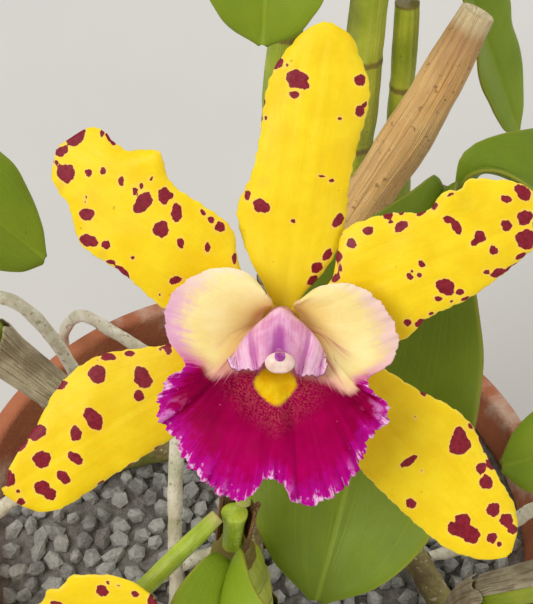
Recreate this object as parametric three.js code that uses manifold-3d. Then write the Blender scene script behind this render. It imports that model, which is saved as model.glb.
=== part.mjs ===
// A potted cattleya orchid with two blooms, in millimetres, +Z up.
// The origin is the centre of the pot's underside. The open bloom faces -Y and up.
import * as THREE from 'three';
import { mergeVertices } from 'three/addons/utils/BufferGeometryUtils.js';
import Module from 'manifold-3d';

const wasm = await Module();
wasm.setup();

// Driving dimensions
const touchGap = 0.3;
const pot = {
  height: 110, rimHeight: 18, rimRadius: 80, shoulderRadius: 76.5, baseRadius: 55, wall: 5, floor: 6,
  holeRadius: 6, holeCircle: 30, holes: 4, segments: 36,
};
const mix = { edgeHeight: 100, crown: 4, rings: 12, segments: 48, stones: 150, stoneRadius: 7, stoneRise: 4 };
const rhizomeRadius = 4;
const knuckleRadius = 5.6;
const knuckleRise = 9;
const leafThickness = 1.5;
const tepalThickness = 0.9;
const lipThickness = 0.8;

// Colours and finishes
const finish = (color, roughness) => new THREE.MeshStandardMaterial({ color, roughness, metalness: 0 });
const materials = {
  terracotta: finish('#b4653f', 0.85),
  stones: finish('#8b8880', 0.9),
  rhizome: finish('#8a7a4a', 0.8),
  bulb: finish('#9db030', 0.55),
  driedCane: finish('#b98550', 0.75),
  leaf: finish('#5f8a14', 0.4),
  root: finish('#dcd3bb', 0.8),
  stem: finish('#9bb322', 0.45),
  sheath: finish('#7a5230', 0.8),
  tepal: finish('#f6d91f', 0.35),
  lip: finish('#b8106a', 0.45),
  column: finish('#c673b4', 0.4),
  antherCap: finish('#f4efe4', 0.4),
};

const point = (x, y, z) => new THREE.Vector3(x, y, z);
const plant = new THREE.Group();

function addPiece(parent, name, geometry, material) {
  const mesh = new THREE.Mesh(geometry, material);
  mesh.name = name;
  parent.add(mesh);
  return mesh;
}

// A smooth curve of values through hand-set stops [position, value].
function through(stops, at) {
  const last = stops.length - 1;
  if (at <= stops[0][0]) return stops[0][1];
  if (at >= stops[last][0]) return stops[last][1];
  const i = stops.findIndex((stop) => stop[0] > at) - 1;
  const slope = (k) => {
    const before = stops[Math.max(k - 1, 0)];
    const after = stops[Math.min(k + 1, last)];
    return (after[1] - before[1]) / (after[0] - before[0]);
  };
  const span = stops[i + 1][0] - stops[i][0];
  const t = (at - stops[i][0]) / span;
  const keep = (1 + 2 * t) * (1 - t) * (1 - t);
  return keep * stops[i][1] + (1 - keep) * stops[i + 1][1]
    + span * (t * (1 - t) * (1 - t) * slope(i) - t * t * (1 - t) * slope(i + 1));
}

function easeBetween(low, high, at) {
  return THREE.MathUtils.smoothstep(at, low, high);
}

// Mesh building

function closedGeometry(positions, triangles) {
  let volume = 0;
  for (const [a, b, c] of triangles) {
    volume += positions[a].dot(new THREE.Vector3().crossVectors(positions[b], positions[c]));
  }
  const index = triangles.flatMap(([a, b, c]) => (volume > 0 ? [a, b, c] : [a, c, b]));
  const geometry = new THREE.BufferGeometry();
  geometry.setAttribute('position', new THREE.Float32BufferAttribute(positions.flatMap((p) => p.toArray()), 3));
  geometry.setIndex(index);
  return geometry;
}

// A thin closed sheet about surface(along, across), both from 0 to 1.
// Both faces have the same triangles, so a waved sheet never crosses itself.
function sheet(surface, rows, columns, thickness) {
  const grid = [];
  for (let i = 0; i <= rows; i += 1) {
    grid.push(Array.from({ length: columns + 1 }, (_, j) => surface(i / rows, j / columns)));
  }
  const front = [];
  const back = [];
  for (let i = 0; i <= rows; i += 1) {
    for (let j = 0; j <= columns; j += 1) {
      const along = grid[Math.min(i + 1, rows)][j].clone().sub(grid[Math.max(i - 1, 0)][j]);
      const across = grid[i][Math.min(j + 1, columns)].clone().sub(grid[i][Math.max(j - 1, 0)]);
      const half = along.cross(across).setLength(thickness / 2);
      front.push(grid[i][j].clone().add(half));
      back.push(grid[i][j].clone().sub(half));
    }
  }
  const width = columns + 1;
  const offset = front.length;
  const triangles = [];
  for (let i = 0; i < rows; i += 1) {
    for (let j = 0; j < columns; j += 1) {
      const a = i * width + j;
      const b = a + 1;
      const c = a + width;
      const d = c + 1;
      triangles.push([a, c, d], [a, d, b], [a + offset, d + offset, c + offset], [a + offset, b + offset, d + offset]);
    }
  }
  const rim = [];
  for (let j = 0; j < columns; j += 1) rim.push(j);
  for (let i = 0; i < rows; i += 1) rim.push(i * width + columns);
  for (let j = columns; j > 0; j -= 1) rim.push(rows * width + j);
  for (let i = rows; i > 0; i -= 1) rim.push(i * width);
  rim.forEach((a, k) => {
    const b = rim[(k + 1) % rim.length];
    triangles.push([a, b, b + offset], [a, b + offset, a + offset]);
  });
  return closedGeometry([...front, ...back], triangles);
}

// Closed rings joined one to the next, with a flat end at both ends.
function loft(rings) {
  const sides = rings[0].length;
  const positions = rings.flat();
  const triangles = [];
  for (let i = 0; i < rings.length - 1; i += 1) {
    for (let j = 0; j < sides; j += 1) {
      const a = i * sides + j;
      const b = i * sides + (j + 1) % sides;
      triangles.push([a, b, b + sides], [a, b + sides, a + sides]);
    }
  }
  const middle = (ring) => ring.reduce((sum, p) => sum.add(p), point(0, 0, 0)).divideScalar(sides);
  const first = positions.push(middle(rings[0])) - 1;
  const end = positions.push(middle(rings[rings.length - 1])) - 1;
  const lastRing = (rings.length - 1) * sides;
  for (let j = 0; j < sides; j += 1) {
    const next = (j + 1) % sides;
    triangles.push([first, next, j], [end, lastRing + j, lastRing + next]);
  }
  return closedGeometry(positions, triangles);
}

// A round stem through points, with radius(t) along it.
function stem(points, radius, steps, sides) {
  const curve = new THREE.CatmullRomCurve3(points, false, 'centripetal');
  const frames = curve.computeFrenetFrames(steps, false);
  const rings = [];
  for (let i = 0; i <= steps; i += 1) {
    const centre = curve.getPointAt(i / steps);
    const r = radius(i / steps);
    rings.push(Array.from({ length: sides }, (_, j) => {
      const turn = (2 * Math.PI * j) / sides;
      return centre.clone()
        .addScaledVector(frames.normals[i], r * Math.cos(turn))
        .addScaledVector(frames.binormals[i], r * Math.sin(turn));
    }));
  }
  return loft(rings);
}

// Joining and cutting

function solidOf(geometry) {
  const bare = geometry.clone();
  bare.deleteAttribute('normal');
  bare.deleteAttribute('uv');
  const merged = mergeVertices(bare, 1e-4);
  return new wasm.Manifold(new wasm.Mesh({
    numProp: 3,
    vertProperties: new Float32Array(merged.attributes.position.array),
    triVerts: new Uint32Array(merged.index.array),
  }));
}

function geometryOf(solid) {
  const mesh = solid.getMesh();
  const geometry = new THREE.BufferGeometry();
  geometry.setAttribute('position', new THREE.BufferAttribute(new Float32Array(mesh.vertProperties), 3));
  geometry.setIndex(new THREE.BufferAttribute(new Uint32Array(mesh.triVerts), 1));
  return geometry;
}

const joined = (geometries) => geometryOf(geometries.map(solidOf).reduce((all, one) => all.add(one)));

// Pot: a plain tapered terracotta pot with a thick rim band and drain holes

const innerRimRadius = pot.rimRadius - pot.wall;
const innerFloorRadius = pot.baseRadius - pot.wall + 1;

function innerWallRadius(z) {
  return THREE.MathUtils.mapLinear(z, pot.floor, pot.height, innerFloorRadius, innerRimRadius);
}

function potGeometry() {
  const band = pot.height - pot.rimHeight;
  const profile = [
    [0, 0], [pot.baseRadius, 0], [pot.shoulderRadius - 1, band - 4], [pot.shoulderRadius, band],
    [pot.rimRadius, band + 1.5], [pot.rimRadius, pot.height - 2], [pot.rimRadius - 1.5, pot.height],
    [innerRimRadius, pot.height], [innerFloorRadius, pot.floor], [0, pot.floor],
  ].map(([r, z]) => new THREE.Vector2(r, z));
  const turned = new THREE.LatheGeometry(profile, pot.segments).rotateX(Math.PI / 2);
  let body = solidOf(turned);
  for (let i = 0; i < pot.holes; i += 1) {
    const turn = (2 * Math.PI * (i + 0.5)) / pot.holes;
    const drill = new THREE.CylinderGeometry(pot.holeRadius, pot.holeRadius, 4 * pot.floor, 10).rotateX(Math.PI / 2);
    drill.translate(pot.holeCircle * Math.cos(turn), pot.holeCircle * Math.sin(turn), 0);
    body = body.subtract(solidOf(drill));
  }
  return geometryOf(body);
}

addPiece(plant, 'pot', potGeometry(), materials.terracotta);

// Heights of the domed potting mix and of the rhizome that creeps over it

const mixRadius = innerWallRadius(mix.edgeHeight) - touchGap;

function mixHeight(x, y) {
  return mix.edgeHeight + mix.crown * (1 - (x * x + y * y) / (mixRadius * mixRadius));
}

const crownOf = (x, y) => mixHeight(x, y) + touchGap + knuckleRise;

// Growths: the foot on the mix and the top that carries the leaves
const growths = {
  old_cane: { foot: [-4, 27] },
  flowering: { foot: [0, -44], bend: [-2, -50, 150], top: [-4.5, -61, 191], radius: 6.4, topRadius: 5 },
  right: { foot: [32, 8], bend: [36, 11, 165], top: [43, 18, 213], radius: 6, topRadius: 4.6 },
  back: { foot: [4, 58], bend: [5, 70, 175], top: [9, 82, 235], radius: 4.6, topRadius: 4.3 },
  back_right: { foot: [23, 51], bend: [24, 59, 175], top: [27, 67, 240], radius: 5, topRadius: 4.4 },
  slim: { foot: [41, 44], bend: [37, 60, 165], top: [36, 70, 226], radius: 3.4, topRadius: 3.2 },
  left: { foot: [-48, 18], bend: [-70, 21, 162], top: [-98, 26, 219], radius: 5.6, topRadius: 4.6 },
  far_right: { foot: [52, -34], bend: [72, -38, 143], top: [104, -42, 185], radius: 5.2, topRadius: 4.4 },
};

const footOf = (name) => point(...growths[name].foot, crownOf(...growths[name].foot));

// Rhizome: creeping stems from the old cane to each growth, with a knuckle under each
const creeping = [
  ['old_cane', 'right'], ['right', 'far_right'], ['old_cane', 'left'], ['old_cane', 'flowering'],
  ['old_cane', 'back'], ['back', 'back_right'], ['back_right', 'slim'],
];

function onMix(x, y, lift) {
  return point(x, y, mixHeight(x, y) + touchGap + lift);
}

function rhizomeGeometry() {
  const pieces = creeping.map(([from, to]) => {
    const [a, b] = [growths[from].foot, growths[to].foot];
    const along = [0, 0.5, 1].map((t) => {
      return onMix(a[0] + (b[0] - a[0]) * t, a[1] + (b[1] - a[1]) * t, rhizomeRadius + 0.2);
    });
    return stem(along, (t) => rhizomeRadius - 0.5 * Math.sin(Math.PI * t), 4, 6);
  });
  for (const { foot, radius } of Object.values(growths)) {
    const wide = Math.min(knuckleRadius, (radius ?? 6) + 1.6);
    const post = new THREE.CylinderGeometry(wide - 0.8, wide, knuckleRise - 1.5, 8).rotateX(Math.PI / 2);
    post.translate(foot[0], foot[1], crownOf(...foot) - (knuckleRise - 1.5) / 2);
    pieces.push(post);
  }
  return joined(pieces);
}

addPiece(plant, 'rhizome', rhizomeGeometry(), materials.rhizome);

// Pseudobulbs: slim jointed stems, swollen above the middle
function bulbRadius({ radius, topRadius }) {
  const swell = [[0, 0.55], [0.12, 0.66], [0.4, 0.9], [0.7, 1], [0.9, 0.9], [1, topRadius / radius]];
  const joints = 5;
  return (t) => radius * through(swell, t) * (1 - 0.07 * Math.abs(Math.cos(Math.PI * joints * t)) ** 6);
}

for (const [name, growth] of Object.entries(growths)) {
  if (!growth.top) continue;
  const foot = footOf(name).add(point(0, 0, touchGap));
  const rise = growth.top[2] - foot.z;
  const path = [foot, point(foot.x, foot.y, foot.z + 0.18 * rise), point(...growth.bend), point(...growth.top)];
  addPiece(plant, `pseudobulb_${name}`, stem(path, bulbRadius(growth), 12, 8), materials.bulb);
}

// The old flowered-out cane, cut off square at its top
const oldCane = [footOf('old_cane').add(point(0, 0, touchGap)), footOf('old_cane').add(point(0, 0, 7)),
  point(-1, 28.5, 132), point(10, 34, 153), point(24, 42, 180), point(38.5, 50.5, 205), point(51.5, 60, 231)];
const oldCaneRadius = (t) => through([[0, 4.2], [0.2, 4.3], [0.45, 5], [0.7, 6.2], [0.88, 5.4], [1, 4.2]], t);
addPiece(plant, 'old_cut_cane', stem(oldCane, oldCaneRadius, 12, 10), materials.driedCane);

// Roots: from the rhizome through the air, over the mix and over the rim
const roots = [
  [[-16, 23, 111.1], [-16, 17, 122], [-17, 8, 143], [-19, -5, 155], [-20, -20, 142], [-20, -33, 124],
    [-22, -47, 107], [-26, -59, 103.6]],
  [[-36, 17.9, 109.9], [-38, 8, 124], [-50, -6, 138], [-68, -18, 134], [-84, -30, 118], [-90, -38, 97],
    [-90, -44, 74]],
  [[-46, 24, 109.8], [-50, 34, 128], [-66, 44, 146], [-84, 46, 140], [-97, 44, 118], [-100, 44, 92]],
  [[3.8, -49, 107], [9, -57, 107], [13, -65, 110], [16, -72, 113.5], [18, -79, 113.8], [20, -86, 109],
    [21, -91, 96], [20, -91, 78]],
  [[45.2, -11.6, 107.2], [56, -8, 107], [66, -4, 110], [73, -1, 113.8], [81, 1, 113.8], [88, 3, 108], [92, 5, 92]],
  [[-7.3, 32.5, 107.5], [-16, 42, 108], [-30, 52, 111], [-42, 59, 114], [-51, 65, 114], [-58, 70, 101], [-60, 72, 82]],
  [[-5.8, -10, 108.4], [-16, -12, 107], [-30, -20, 105.6], [-42, -30, 104.6], [-50, -42, 103.8]],
  [[50, -40.4, 105.8], [44, -50, 103.2], [34, -58, 102.8], [22, -64, 102.3]],
];
const rootThickness = (t) => through([[0, 1.3], [0.08, 1.8], [0.85, 1.7], [1, 0.7]], t);
roots.forEach((route, i) => {
  const path = route.map((p) => point(...p));
  addPiece(plant, `root_${i + 1}`, stem(path, rootThickness, 3 * route.length, 6), materials.root);
});

// Potting mix: a dome of coarse stone chips, left low where the plant lies on it

function seededRandom(seed) {
  let state = seed;
  return () => {
    state = (state * 1664525 + 1013904223) % 4294967296;
    return state / 4294967296;
  };
}

function distanceToSegment(x, y, a, b) {
  const [dx, dy] = [b[0] - a[0], b[1] - a[1]];
  const t = THREE.MathUtils.clamp(((x - a[0]) * dx + (y - a[1]) * dy) / (dx * dx + dy * dy), 0, 1);
  return Math.hypot(x - a[0] - dx * t, y - a[1] - dy * t);
}

const lyingLines = [
  ...creeping.map(([from, to]) => [growths[from].foot, growths[to].foot]),
  ...roots.flatMap((route) => route.slice(1).map((p, i) => [route[i], p]))
    .filter(([a, b]) => Math.min(a[2], b[2]) < mix.edgeHeight + 12),
];

function stonesRise(x, y, stones) {
  const clear = Math.min(...lyingLines.map(([a, b]) => distanceToSegment(x, y, a, b)));
  const room = easeBetween(7, 11, clear) * easeBetween(mixRadius, mixRadius - 6, Math.hypot(x, y));
  const nearest = Math.min(...stones.map(([sx, sy]) => Math.hypot(x - sx, y - sy)));
  return mix.stoneRise * room * Math.sqrt(Math.max(0, 1 - (nearest / mix.stoneRadius) ** 2));
}

function mixGeometry() {
  const random = seededRandom(17);
  const stones = Array.from({ length: mix.stones }, () => {
    const r = mixRadius * Math.sqrt(random());
    const turn = 2 * Math.PI * random();
    return [r * Math.cos(turn), r * Math.sin(turn)];
  });
  const ring = (r, z) => Array.from({ length: mix.segments }, (_, j) => {
    const turn = (2 * Math.PI * j) / mix.segments;
    return point(r * Math.cos(turn), r * Math.sin(turn), z);
  });
  const bottom = pot.floor + touchGap;
  const rings = [ring(innerWallRadius(bottom) - touchGap - 0.1, bottom)];
  for (let i = 0; i < mix.rings; i += 1) {
    const r = mixRadius * (1 - i / mix.rings);
    rings.push(ring(r, 0).map((p) => p.setZ(mixHeight(p.x, p.y) + stonesRise(p.x, p.y, stones))));
  }
  return loft(rings);
}

addPiece(plant, 'potting_mix', mixGeometry(), materials.stones);

// Leaves: thick, folded like a channel at the foot and flat towards the round tip

const leafShape = [[0, 0.13], [0.08, 0.24], [0.2, 0.56], [0.35, 0.86], [0.52, 1], [0.7, 0.95], [0.84, 0.76],
  [0.94, 0.46], [1, 0.07]];

// The way a growth's top points, and a seat on that top on the side that a leaf or stalk leaves by
function topAxis({ bend, top }) {
  return point(...top).sub(point(...bend)).normalize();
}

function seatOnTop(growth, towards, offCentre, lift) {
  const axis = topAxis(growth);
  const out = towards.clone().sub(point(...growth.top));
  out.addScaledVector(axis, -out.dot(axis)).normalize();
  return point(...growth.top).addScaledVector(out, offCentre).addScaledVector(axis, lift);
}

function leafGeometry({ growth, line, width, roll = 0, fold = 62 }) {
  const { [growth]: carrier } = growths;
  const path = line.map((p) => point(...p));
  const foot = seatOnTop(carrier, path[path.length - 1], carrier.topRadius - 0.9, 0.95);
  const curve = new THREE.CatmullRomCurve3([foot, ...path], false, 'centripetal');
  const chord = path[path.length - 1].clone().sub(foot);
  const level = new THREE.Vector3().crossVectors(chord, point(0, 0, 1)).normalize();
  level.applyAxisAngle(chord.clone().normalize(), THREE.MathUtils.degToRad(roll));
  return sheet((along, across) => {
    const tip = 1 - (1 - along) ** 1.35;
    const t = THREE.MathUtils.lerp(along, tip, 0.5);
    const tangent = curve.getTangentAt(t);
    const side = level.clone().addScaledVector(tangent, -level.dot(tangent)).normalize();
    const upper = new THREE.Vector3().crossVectors(side, tangent).normalize();
    const v = 2 * across - 1;
    const reach = v * (width / 2) * through(leafShape, t);
    const angle = THREE.MathUtils.degToRad(through([[0, fold], [0.25, fold * 0.45], [0.6, 14], [1, 6]], t));
    return curve.getPointAt(t)
      .addScaledVector(side, reach * Math.cos(angle))
      .addScaledVector(upper, Math.abs(reach) * Math.sin(angle));
  }, 11, 4, leafThickness);
}

const leaves = {
  flowering: { growth: 'flowering', width: 40, line: [[-5, -68.5, 197], [-7, -77, 197], [-5, -96, 187],
    [2, -116, 174], [10, -132, 158]] },
  right_front: { growth: 'right', width: 49, line: [[40.5, 12, 219.5], [34, -2, 214], [25, -25, 199],
    [18.5, -46, 186], [13, -63, 175]] },
  right_side: { growth: 'right', width: 38, line: [[50, 20, 219.5], [61, 20, 215], [78, 22, 199],
    [92, 24, 180]] },
  back_front: { growth: 'back', width: 30, line: [[7, 75, 243.5], [4, 68, 249], [2.5, 58, 243],
    [1.5, 50, 230]] },
  back_side: { growth: 'back', width: 34, line: [[4, 88, 244], [-14, 99, 255], [-44, 116, 252]] },
  back_right_rear: { growth: 'back_right', width: 36, line: [[24.5, 73, 249], [17, 92, 262], [6, 120, 260]] },
  back_right_side: { growth: 'back_right', width: 34, line: [[33, 65, 249], [58, 66, 262], [92, 66, 258]] },
  slim: { growth: 'slim', width: 26, roll: 25, line: [[41, 75, 232], [50, 82, 223], [59, 80, 202],
    [68, 73, 180]] },
  left_inner: { growth: 'left', width: 30, line: [[-94, 23, 227], [-82, 18, 232], [-64, 12, 219],
    [-48, 8, 203]] },
  left_outer: { growth: 'left', width: 32, line: [[-104, 31, 226], [-114, 48, 237], [-124, 76, 234]] },
  far_right_inner: { growth: 'far_right', width: 30, line: [[102, -42, 193.5], [91, -43, 203], [70, -44, 206],
    [51, -45, 198]] },
  far_right_outer: { growth: 'far_right', width: 32, line: [[111, -48, 192], [124, -60, 200],
    [142, -80, 190]] },
};

for (const [name, leaf] of Object.entries(leaves)) {
  addPiece(plant, `leaf_${name}`, leafGeometry(leaf), materials.leaf);
}

// Blooms

// Sepals and petals: half widths to the left and right of the midline, by distance from the centre.
// angle is clockwise from straight up, as seen from the front; depth is towards the viewer.
const sepalFoot = -1.9;
const petalFoot = -0.5;
const tepals = {
  dorsal_sepal: {
    angle: 8.6, start: 2.2, length: 56, curl: -0.016,
    left: [[0, 1.6], [5, 3.4], [10, 7], [15, 9.8], [20, 11.2], [26, 9.6], [34, 9], [42, 9.1], [47, 8], [51, 5.8],
      [54.4, 3.2], [56, 0.4]],
    right: [[0, 1.6], [5, 3.2], [10, 6.4], [15, 8.5], [21, 9.1], [27, 8.6], [35, 9], [41, 9.8], [46, 9.4],
      [51, 6.7], [54.4, 4.4], [56, 0.4]],
    depth: [[0, sepalFoot], [12, -1.6], [30, 0.2], [56, -0.6]],
  },
  lateral_sepal_left: {
    angle: -121.6, start: 2.2, length: 61.9, curl: -0.012,
    left: [[0, 1.6], [6, 3.6], [14, 6.6], [22, 8.6], [32, 8.7], [42, 8.7], [50, 9], [54, 8.9], [58, 7.5], [60.6, 4.4],
      [61.9, 0.4]],
    right: [[0, 1.6], [6, 3], [14, 5.2], [20, 6.9], [26, 9.4], [32, 11.6], [39, 12.8], [43.5, 11.8], [47.5, 9.2],
      [51, 7.2], [56, 4.9], [59.5, 3.1], [61.9, 0.4]],
    depth: [[0, sepalFoot], [15, -1.8], [35, -0.4], [61, 1.6]],
  },
  lateral_sepal_right: {
    angle: 135.8, start: 2.2, length: 62.8, curl: -0.012,
    left: [[0, 1.6], [6, 3], [14, 5.6], [22, 7.8], [29, 9.6], [36, 11.8], [41, 11.7], [46, 9.9], [52, 8.4],
      [57, 7], [60.8, 4], [62.8, 0.4]],
    right: [[0, 1.6], [6, 3.6], [14, 7], [22, 9], [30, 9.3], [40, 9.2], [48, 8.8], [54, 7.9], [58.5, 5.8], [61.4, 3],
      [62.8, 0.4]],
    depth: [[0, sepalFoot], [15, -1.8], [35, -0.4], [61, 1.2]],
  },
  petal_left: {
    angle: -51.7, start: 2.2, length: 52.4, curl: -0.008,
    left: [[0, 1.6], [5, 4], [10, 8], [17, 11.4], [29, 11], [38, 11.6], [41.5, 9.6], [44.5, 7.2], [48, 6.2],
      [50.6, 4.4], [52.4, 0.4]],
    right: [[0, 1.6], [7, 1.9], [13, 3.6], [18, 8.1], [25, 8.3], [31, 7.8], [34, 8.8], [37, 11.2], [39.2, 10.2],
      [42, 7.6], [45.5, 7.3], [48.5, 7.6], [50.8, 5.4], [52.4, 0.4]],
    depth: [[0, petalFoot], [12, 0], [30, 1.2], [53, -1.4]],
  },
  petal_right: {
    angle: 67.2, start: 2.2, length: 53.8, curl: -0.008,
    left: [[0, 1.6], [7, 1.9], [12, 3.8], [17, 10.8], [22, 11.7], [27, 10.9], [33, 8.9], [37.5, 11.2], [39.6, 10.3],
      [42.5, 11.2], [46.5, 9.4], [50.2, 7.4], [52.6, 4.2], [53.8, 0.4]],
    right: [[0, 1.6], [5, 4], [10, 8], [16, 11.4], [21, 11.9], [25, 10], [34, 9.3], [41, 7.7], [47, 5.9],
      [50.2, 4.6], [52.6, 3], [53.8, 0.4]],
    depth: [[0, petalFoot], [12, 0], [30, 1.4], [53, 0.4]],
  },
};

function tepalGeometry(tepal, rows, columns) {
  const turn = THREE.MathUtils.degToRad(tepal.angle);
  const outward = point(Math.sin(turn), Math.cos(turn), 0);
  const rightward = point(Math.cos(turn), -Math.sin(turn), 0);
  return sheet((along, across) => {
    const s = THREE.MathUtils.lerp(tepal.start, tepal.length, 1 - (1 - along) ** 1.2);
    const v = 2 * across - 1;
    const reach = v * through(v < 0 ? tepal.left : tepal.right, s);
    return outward.clone().multiplyScalar(s)
      .addScaledVector(rightward, reach)
      .add(point(0, 0, through(tepal.depth, s) + tepal.curl * reach * reach));
  }, rows, columns, tepalThickness);
}

// Lip: one sheet from a claw round the column's foot, through the throat, to the frilled rim.
// bearing is the angle round the throat: 0 down, positive to the right, near 180 up.
const lipCentre = point(-0.5, -8.5, 0);
const rimReach = [[-172, 14], [-166, 18.5], [-158, 21], [-148, 23], [-138, 24], [-127, 24.5], [-116, 23.2],
  [-107, 20.5], [-101, 17], [-94, 19.6], [-83, 21.7], [-70, 22.2], [-63, 20.9], [-54, 21.5], [-39, 21.7],
  [-25, 22.1], [-15, 21], [-10, 17], [-3, 15.9], [3, 17.6], [10, 21.7], [21, 22.3], [34, 21.6], [49, 19.9],
  [60, 19], [70, 20.4], [78, 20], [84, 17.5], [90, 15.8], [94, 18.5], [99, 21.5], [108, 23.1], [128, 22.8],
  [141, 21.4], [150, 19.2], [157, 17], [164, 14], [168, 12]];
const rimDepth = [[-172, 4.8], [-158, 5.6], [-138, 6], [-116, 6.6], [-108, 8], [-101, 13], [-94, 15], [-70, 15.3],
  [-54, 17], [-39, 18], [-15, 18.4], [-5, 20.6], [3, 20.2], [12, 18.3], [34, 18], [49, 17], [60, 16], [78, 15],
  [88, 14], [94, 10], [100, 7.5], [108, 6.6], [128, 6], [150, 5.6], [168, 4.8]];

function alongFour(a, b, c, d, t) {
  const path = new THREE.CatmullRomCurve3([a, b, c, d], false, 'centripetal');
  return path.getPoint(t);
}

function lipPoint(bearing, t) {
  const turn = THREE.MathUtils.degToRad(bearing);
  const upperHalf = Math.cos(turn) < 0;
  const lobe = easeBetween(75, 110, Math.abs(bearing));
  const claw = point(3.8 * Math.sin(turn * 0.86), 0.3 - 3.8 * Math.cos(turn * 0.86), 1);
  const throat = point(7.4 * Math.sin(turn), -0.6 - (upperHalf ? 5.1 : 7.2) * Math.cos(turn),
    THREE.MathUtils.lerp(9.5 - 3 * Math.sin(turn) ** 2, 4.1, lobe));
  const reach = through(rimReach, bearing);
  const rim = point(lipCentre.x + reach * Math.sin(turn), lipCentre.y - reach * Math.cos(turn),
    through(rimDepth, bearing));
  const crest = throat.clone().lerp(rim, 0.52);
  crest.z += THREE.MathUtils.lerp(5.3 - 2.5 * Math.sin(turn) ** 2, 1.4, lobe);
  return alongFour(claw, throat, crest, rim, t);
}

function lipGeometry(rows, columns) {
  const [from, to] = [rimReach[0][0], rimReach[rimReach.length - 1][0]];
  return sheet((along, across) => {
    const bearing = THREE.MathUtils.lerp(from, to, across);
    const frill = 0.7 * along ** 4 * Math.sin(THREE.MathUtils.degToRad(bearing) * 15);
    return lipPoint(bearing, along).add(point(0, 0, frill));
  }, rows, columns, lipThickness);
}

// Column: round at its foot, widening into a hood with two wings; [depth, y, half width, above, below]
const columnStations = [
  [0.3, 0.3, 2.8, 2.8, 2.6], [4, 0.5, 3, 3, 2.5], [8, -0.2, 4.2, 3.5, 2.4], [12, -1.8, 6.4, 3.2, 2.2],
  [15.5, -3.6, 8.5, 3.3, 1.8], [18, -4.2, 7.2, 3.2, 1.2], [19.4, -3.6, 3.4, 2.4, 0.8],
];

function columnGeometry(sides) {
  return loft(columnStations.map(([z, y, halfWidth, above, below]) => {
    return Array.from({ length: sides }, (_, j) => {
      const turn = (2 * Math.PI * j) / sides;
      const height = Math.sin(turn) * (Math.sin(turn) > 0 ? above : below);
      return point(halfWidth * Math.cos(turn), y + height, z);
    });
  }));
}

function antherCapGeometry() {
  return new THREE.SphereGeometry(1, 10, 7).scale(2.7, 2, 1.3).translate(-0.3, -3.2, 21);
}

// A bloom's own frame: x to its right, y up its face, z out of its face
function facing(centre, right, up) {
  const frame = new THREE.Group();
  const out = new THREE.Vector3().crossVectors(right, up).normalize();
  const trueUp = new THREE.Vector3().crossVectors(out, right).normalize();
  frame.quaternion.setFromRotationMatrix(new THREE.Matrix4().makeBasis(right, trueUp, out));
  frame.position.copy(centre);
  return { frame, out };
}

function addBloom(name, centre, right, up, fine) {
  const { frame, out } = facing(centre, right, up);
  for (const [part, tepal] of Object.entries(tepals)) {
    addPiece(frame, `${name}_${part}`, tepalGeometry(tepal, fine ? 16 : 11, 4), materials.tepal);
  }
  addPiece(frame, `${name}_lip`, lipGeometry(fine ? 7 : 6, fine ? 48 : 34), materials.lip);
  addPiece(frame, `${name}_column`, columnGeometry(fine ? 14 : 10), materials.column);
  addPiece(frame, `${name}_anther_cap`, antherCapGeometry(), materials.antherCap);
  plant.add(frame);
  return out;
}

const bloom1 = { centre: point(5, -40.9, 240.6), right: point(1, 0, 0), up: point(0, 0.643, 0.766) };
const bloom1Out = addBloom('bloom_1', bloom1.centre, bloom1.right, bloom1.up, true);

const roll2 = THREE.MathUtils.degToRad(-17);
const out2 = point(-0.2, -0.93, 0.3).normalize();
const bloom2 = {
  centre: point(-61, -85, 180),
  right: point(0.978, -0.21, 0).normalize().applyAxisAngle(out2, -roll2),
};
bloom2.up = new THREE.Vector3().crossVectors(out2, bloom2.right);
const bloom2Out = addBloom('bloom_2', bloom2.centre, bloom2.right, bloom2.up, false);

// Flower stalk: a short peduncle in a dried sheath, and a pedicel with its ovary to each bloom

const stalkBase = growths.flowering;
const stalkFoot = seatOnTop(stalkBase, point(...stalkBase.top).add(point(0, 10, 0)), 1.4, 1);
const stalkTop = point(-4, -58.6, 203);
addPiece(plant, 'peduncle', stem([stalkFoot, stalkFoot.clone().lerp(stalkTop, 0.5), stalkTop],
  (t) => 2.1 + 0.6 * easeBetween(0.6, 1, t), 4, 10), materials.stem);

function sheathGeometry() {
  const axis = stalkTop.clone().sub(stalkFoot);
  return sheet((along, across) => {
    const turn = THREE.MathUtils.degToRad(THREE.MathUtils.lerp(-50 + 30 * along, 170 - 40 * along, across));
    const r = 3.2 + 0.9 * along;
    return stalkFoot.clone().addScaledVector(axis, 0.06 + 0.98 * along)
      .add(point(r * Math.cos(turn), r * Math.sin(turn), 0));
  }, 4, 6, 0.6);
}

addPiece(plant, 'flower_sheath', sheathGeometry(), materials.sheath);

const pedicelRadius = (t) => through([[0, 1.5], [0.1, 1.8], [0.55, 1.9], [0.8, 2.5], [1, 3.1]], t);

function addPedicel(name, points, centre, out) {
  const seat = centre.clone().addScaledVector(out, sepalFoot - tepalThickness / 2 - touchGap);
  const straight = seat.clone().addScaledVector(out, -5);
  const path = [...points.map((p) => point(...p)), straight, seat];
  addPiece(plant, name, stem(path, pedicelRadius, 18, 8), materials.stem);
}

addPedicel('bloom_1_pedicel', [[-2.3, -57.6, 204.4], [-1.6, -54.5, 213], [0.5, -45, 224], [3.4, -36, 230.4]],
  bloom1.centre, bloom1Out);
addPedicel('bloom_2_pedicel', [[-7.3, -60.6, 204.3], [-14, -66, 200.8], [-25, -73.4, 194], [-40, -76.5, 187]],
  bloom2.centre, bloom2Out);

export default plant;
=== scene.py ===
# %% [markdown]
# # A potted cattleya orchid
#
# The plant is a clump of jointed green stems in a clay pot. Each stem carries one or two leathery
# leaves, and one of them a stalk with two waxy yellow blooms, spotted maroon, with a magenta lip. The
# solid model gives every piece its size and place. This lesson gives each one its finished form and its
# surface.

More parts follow.
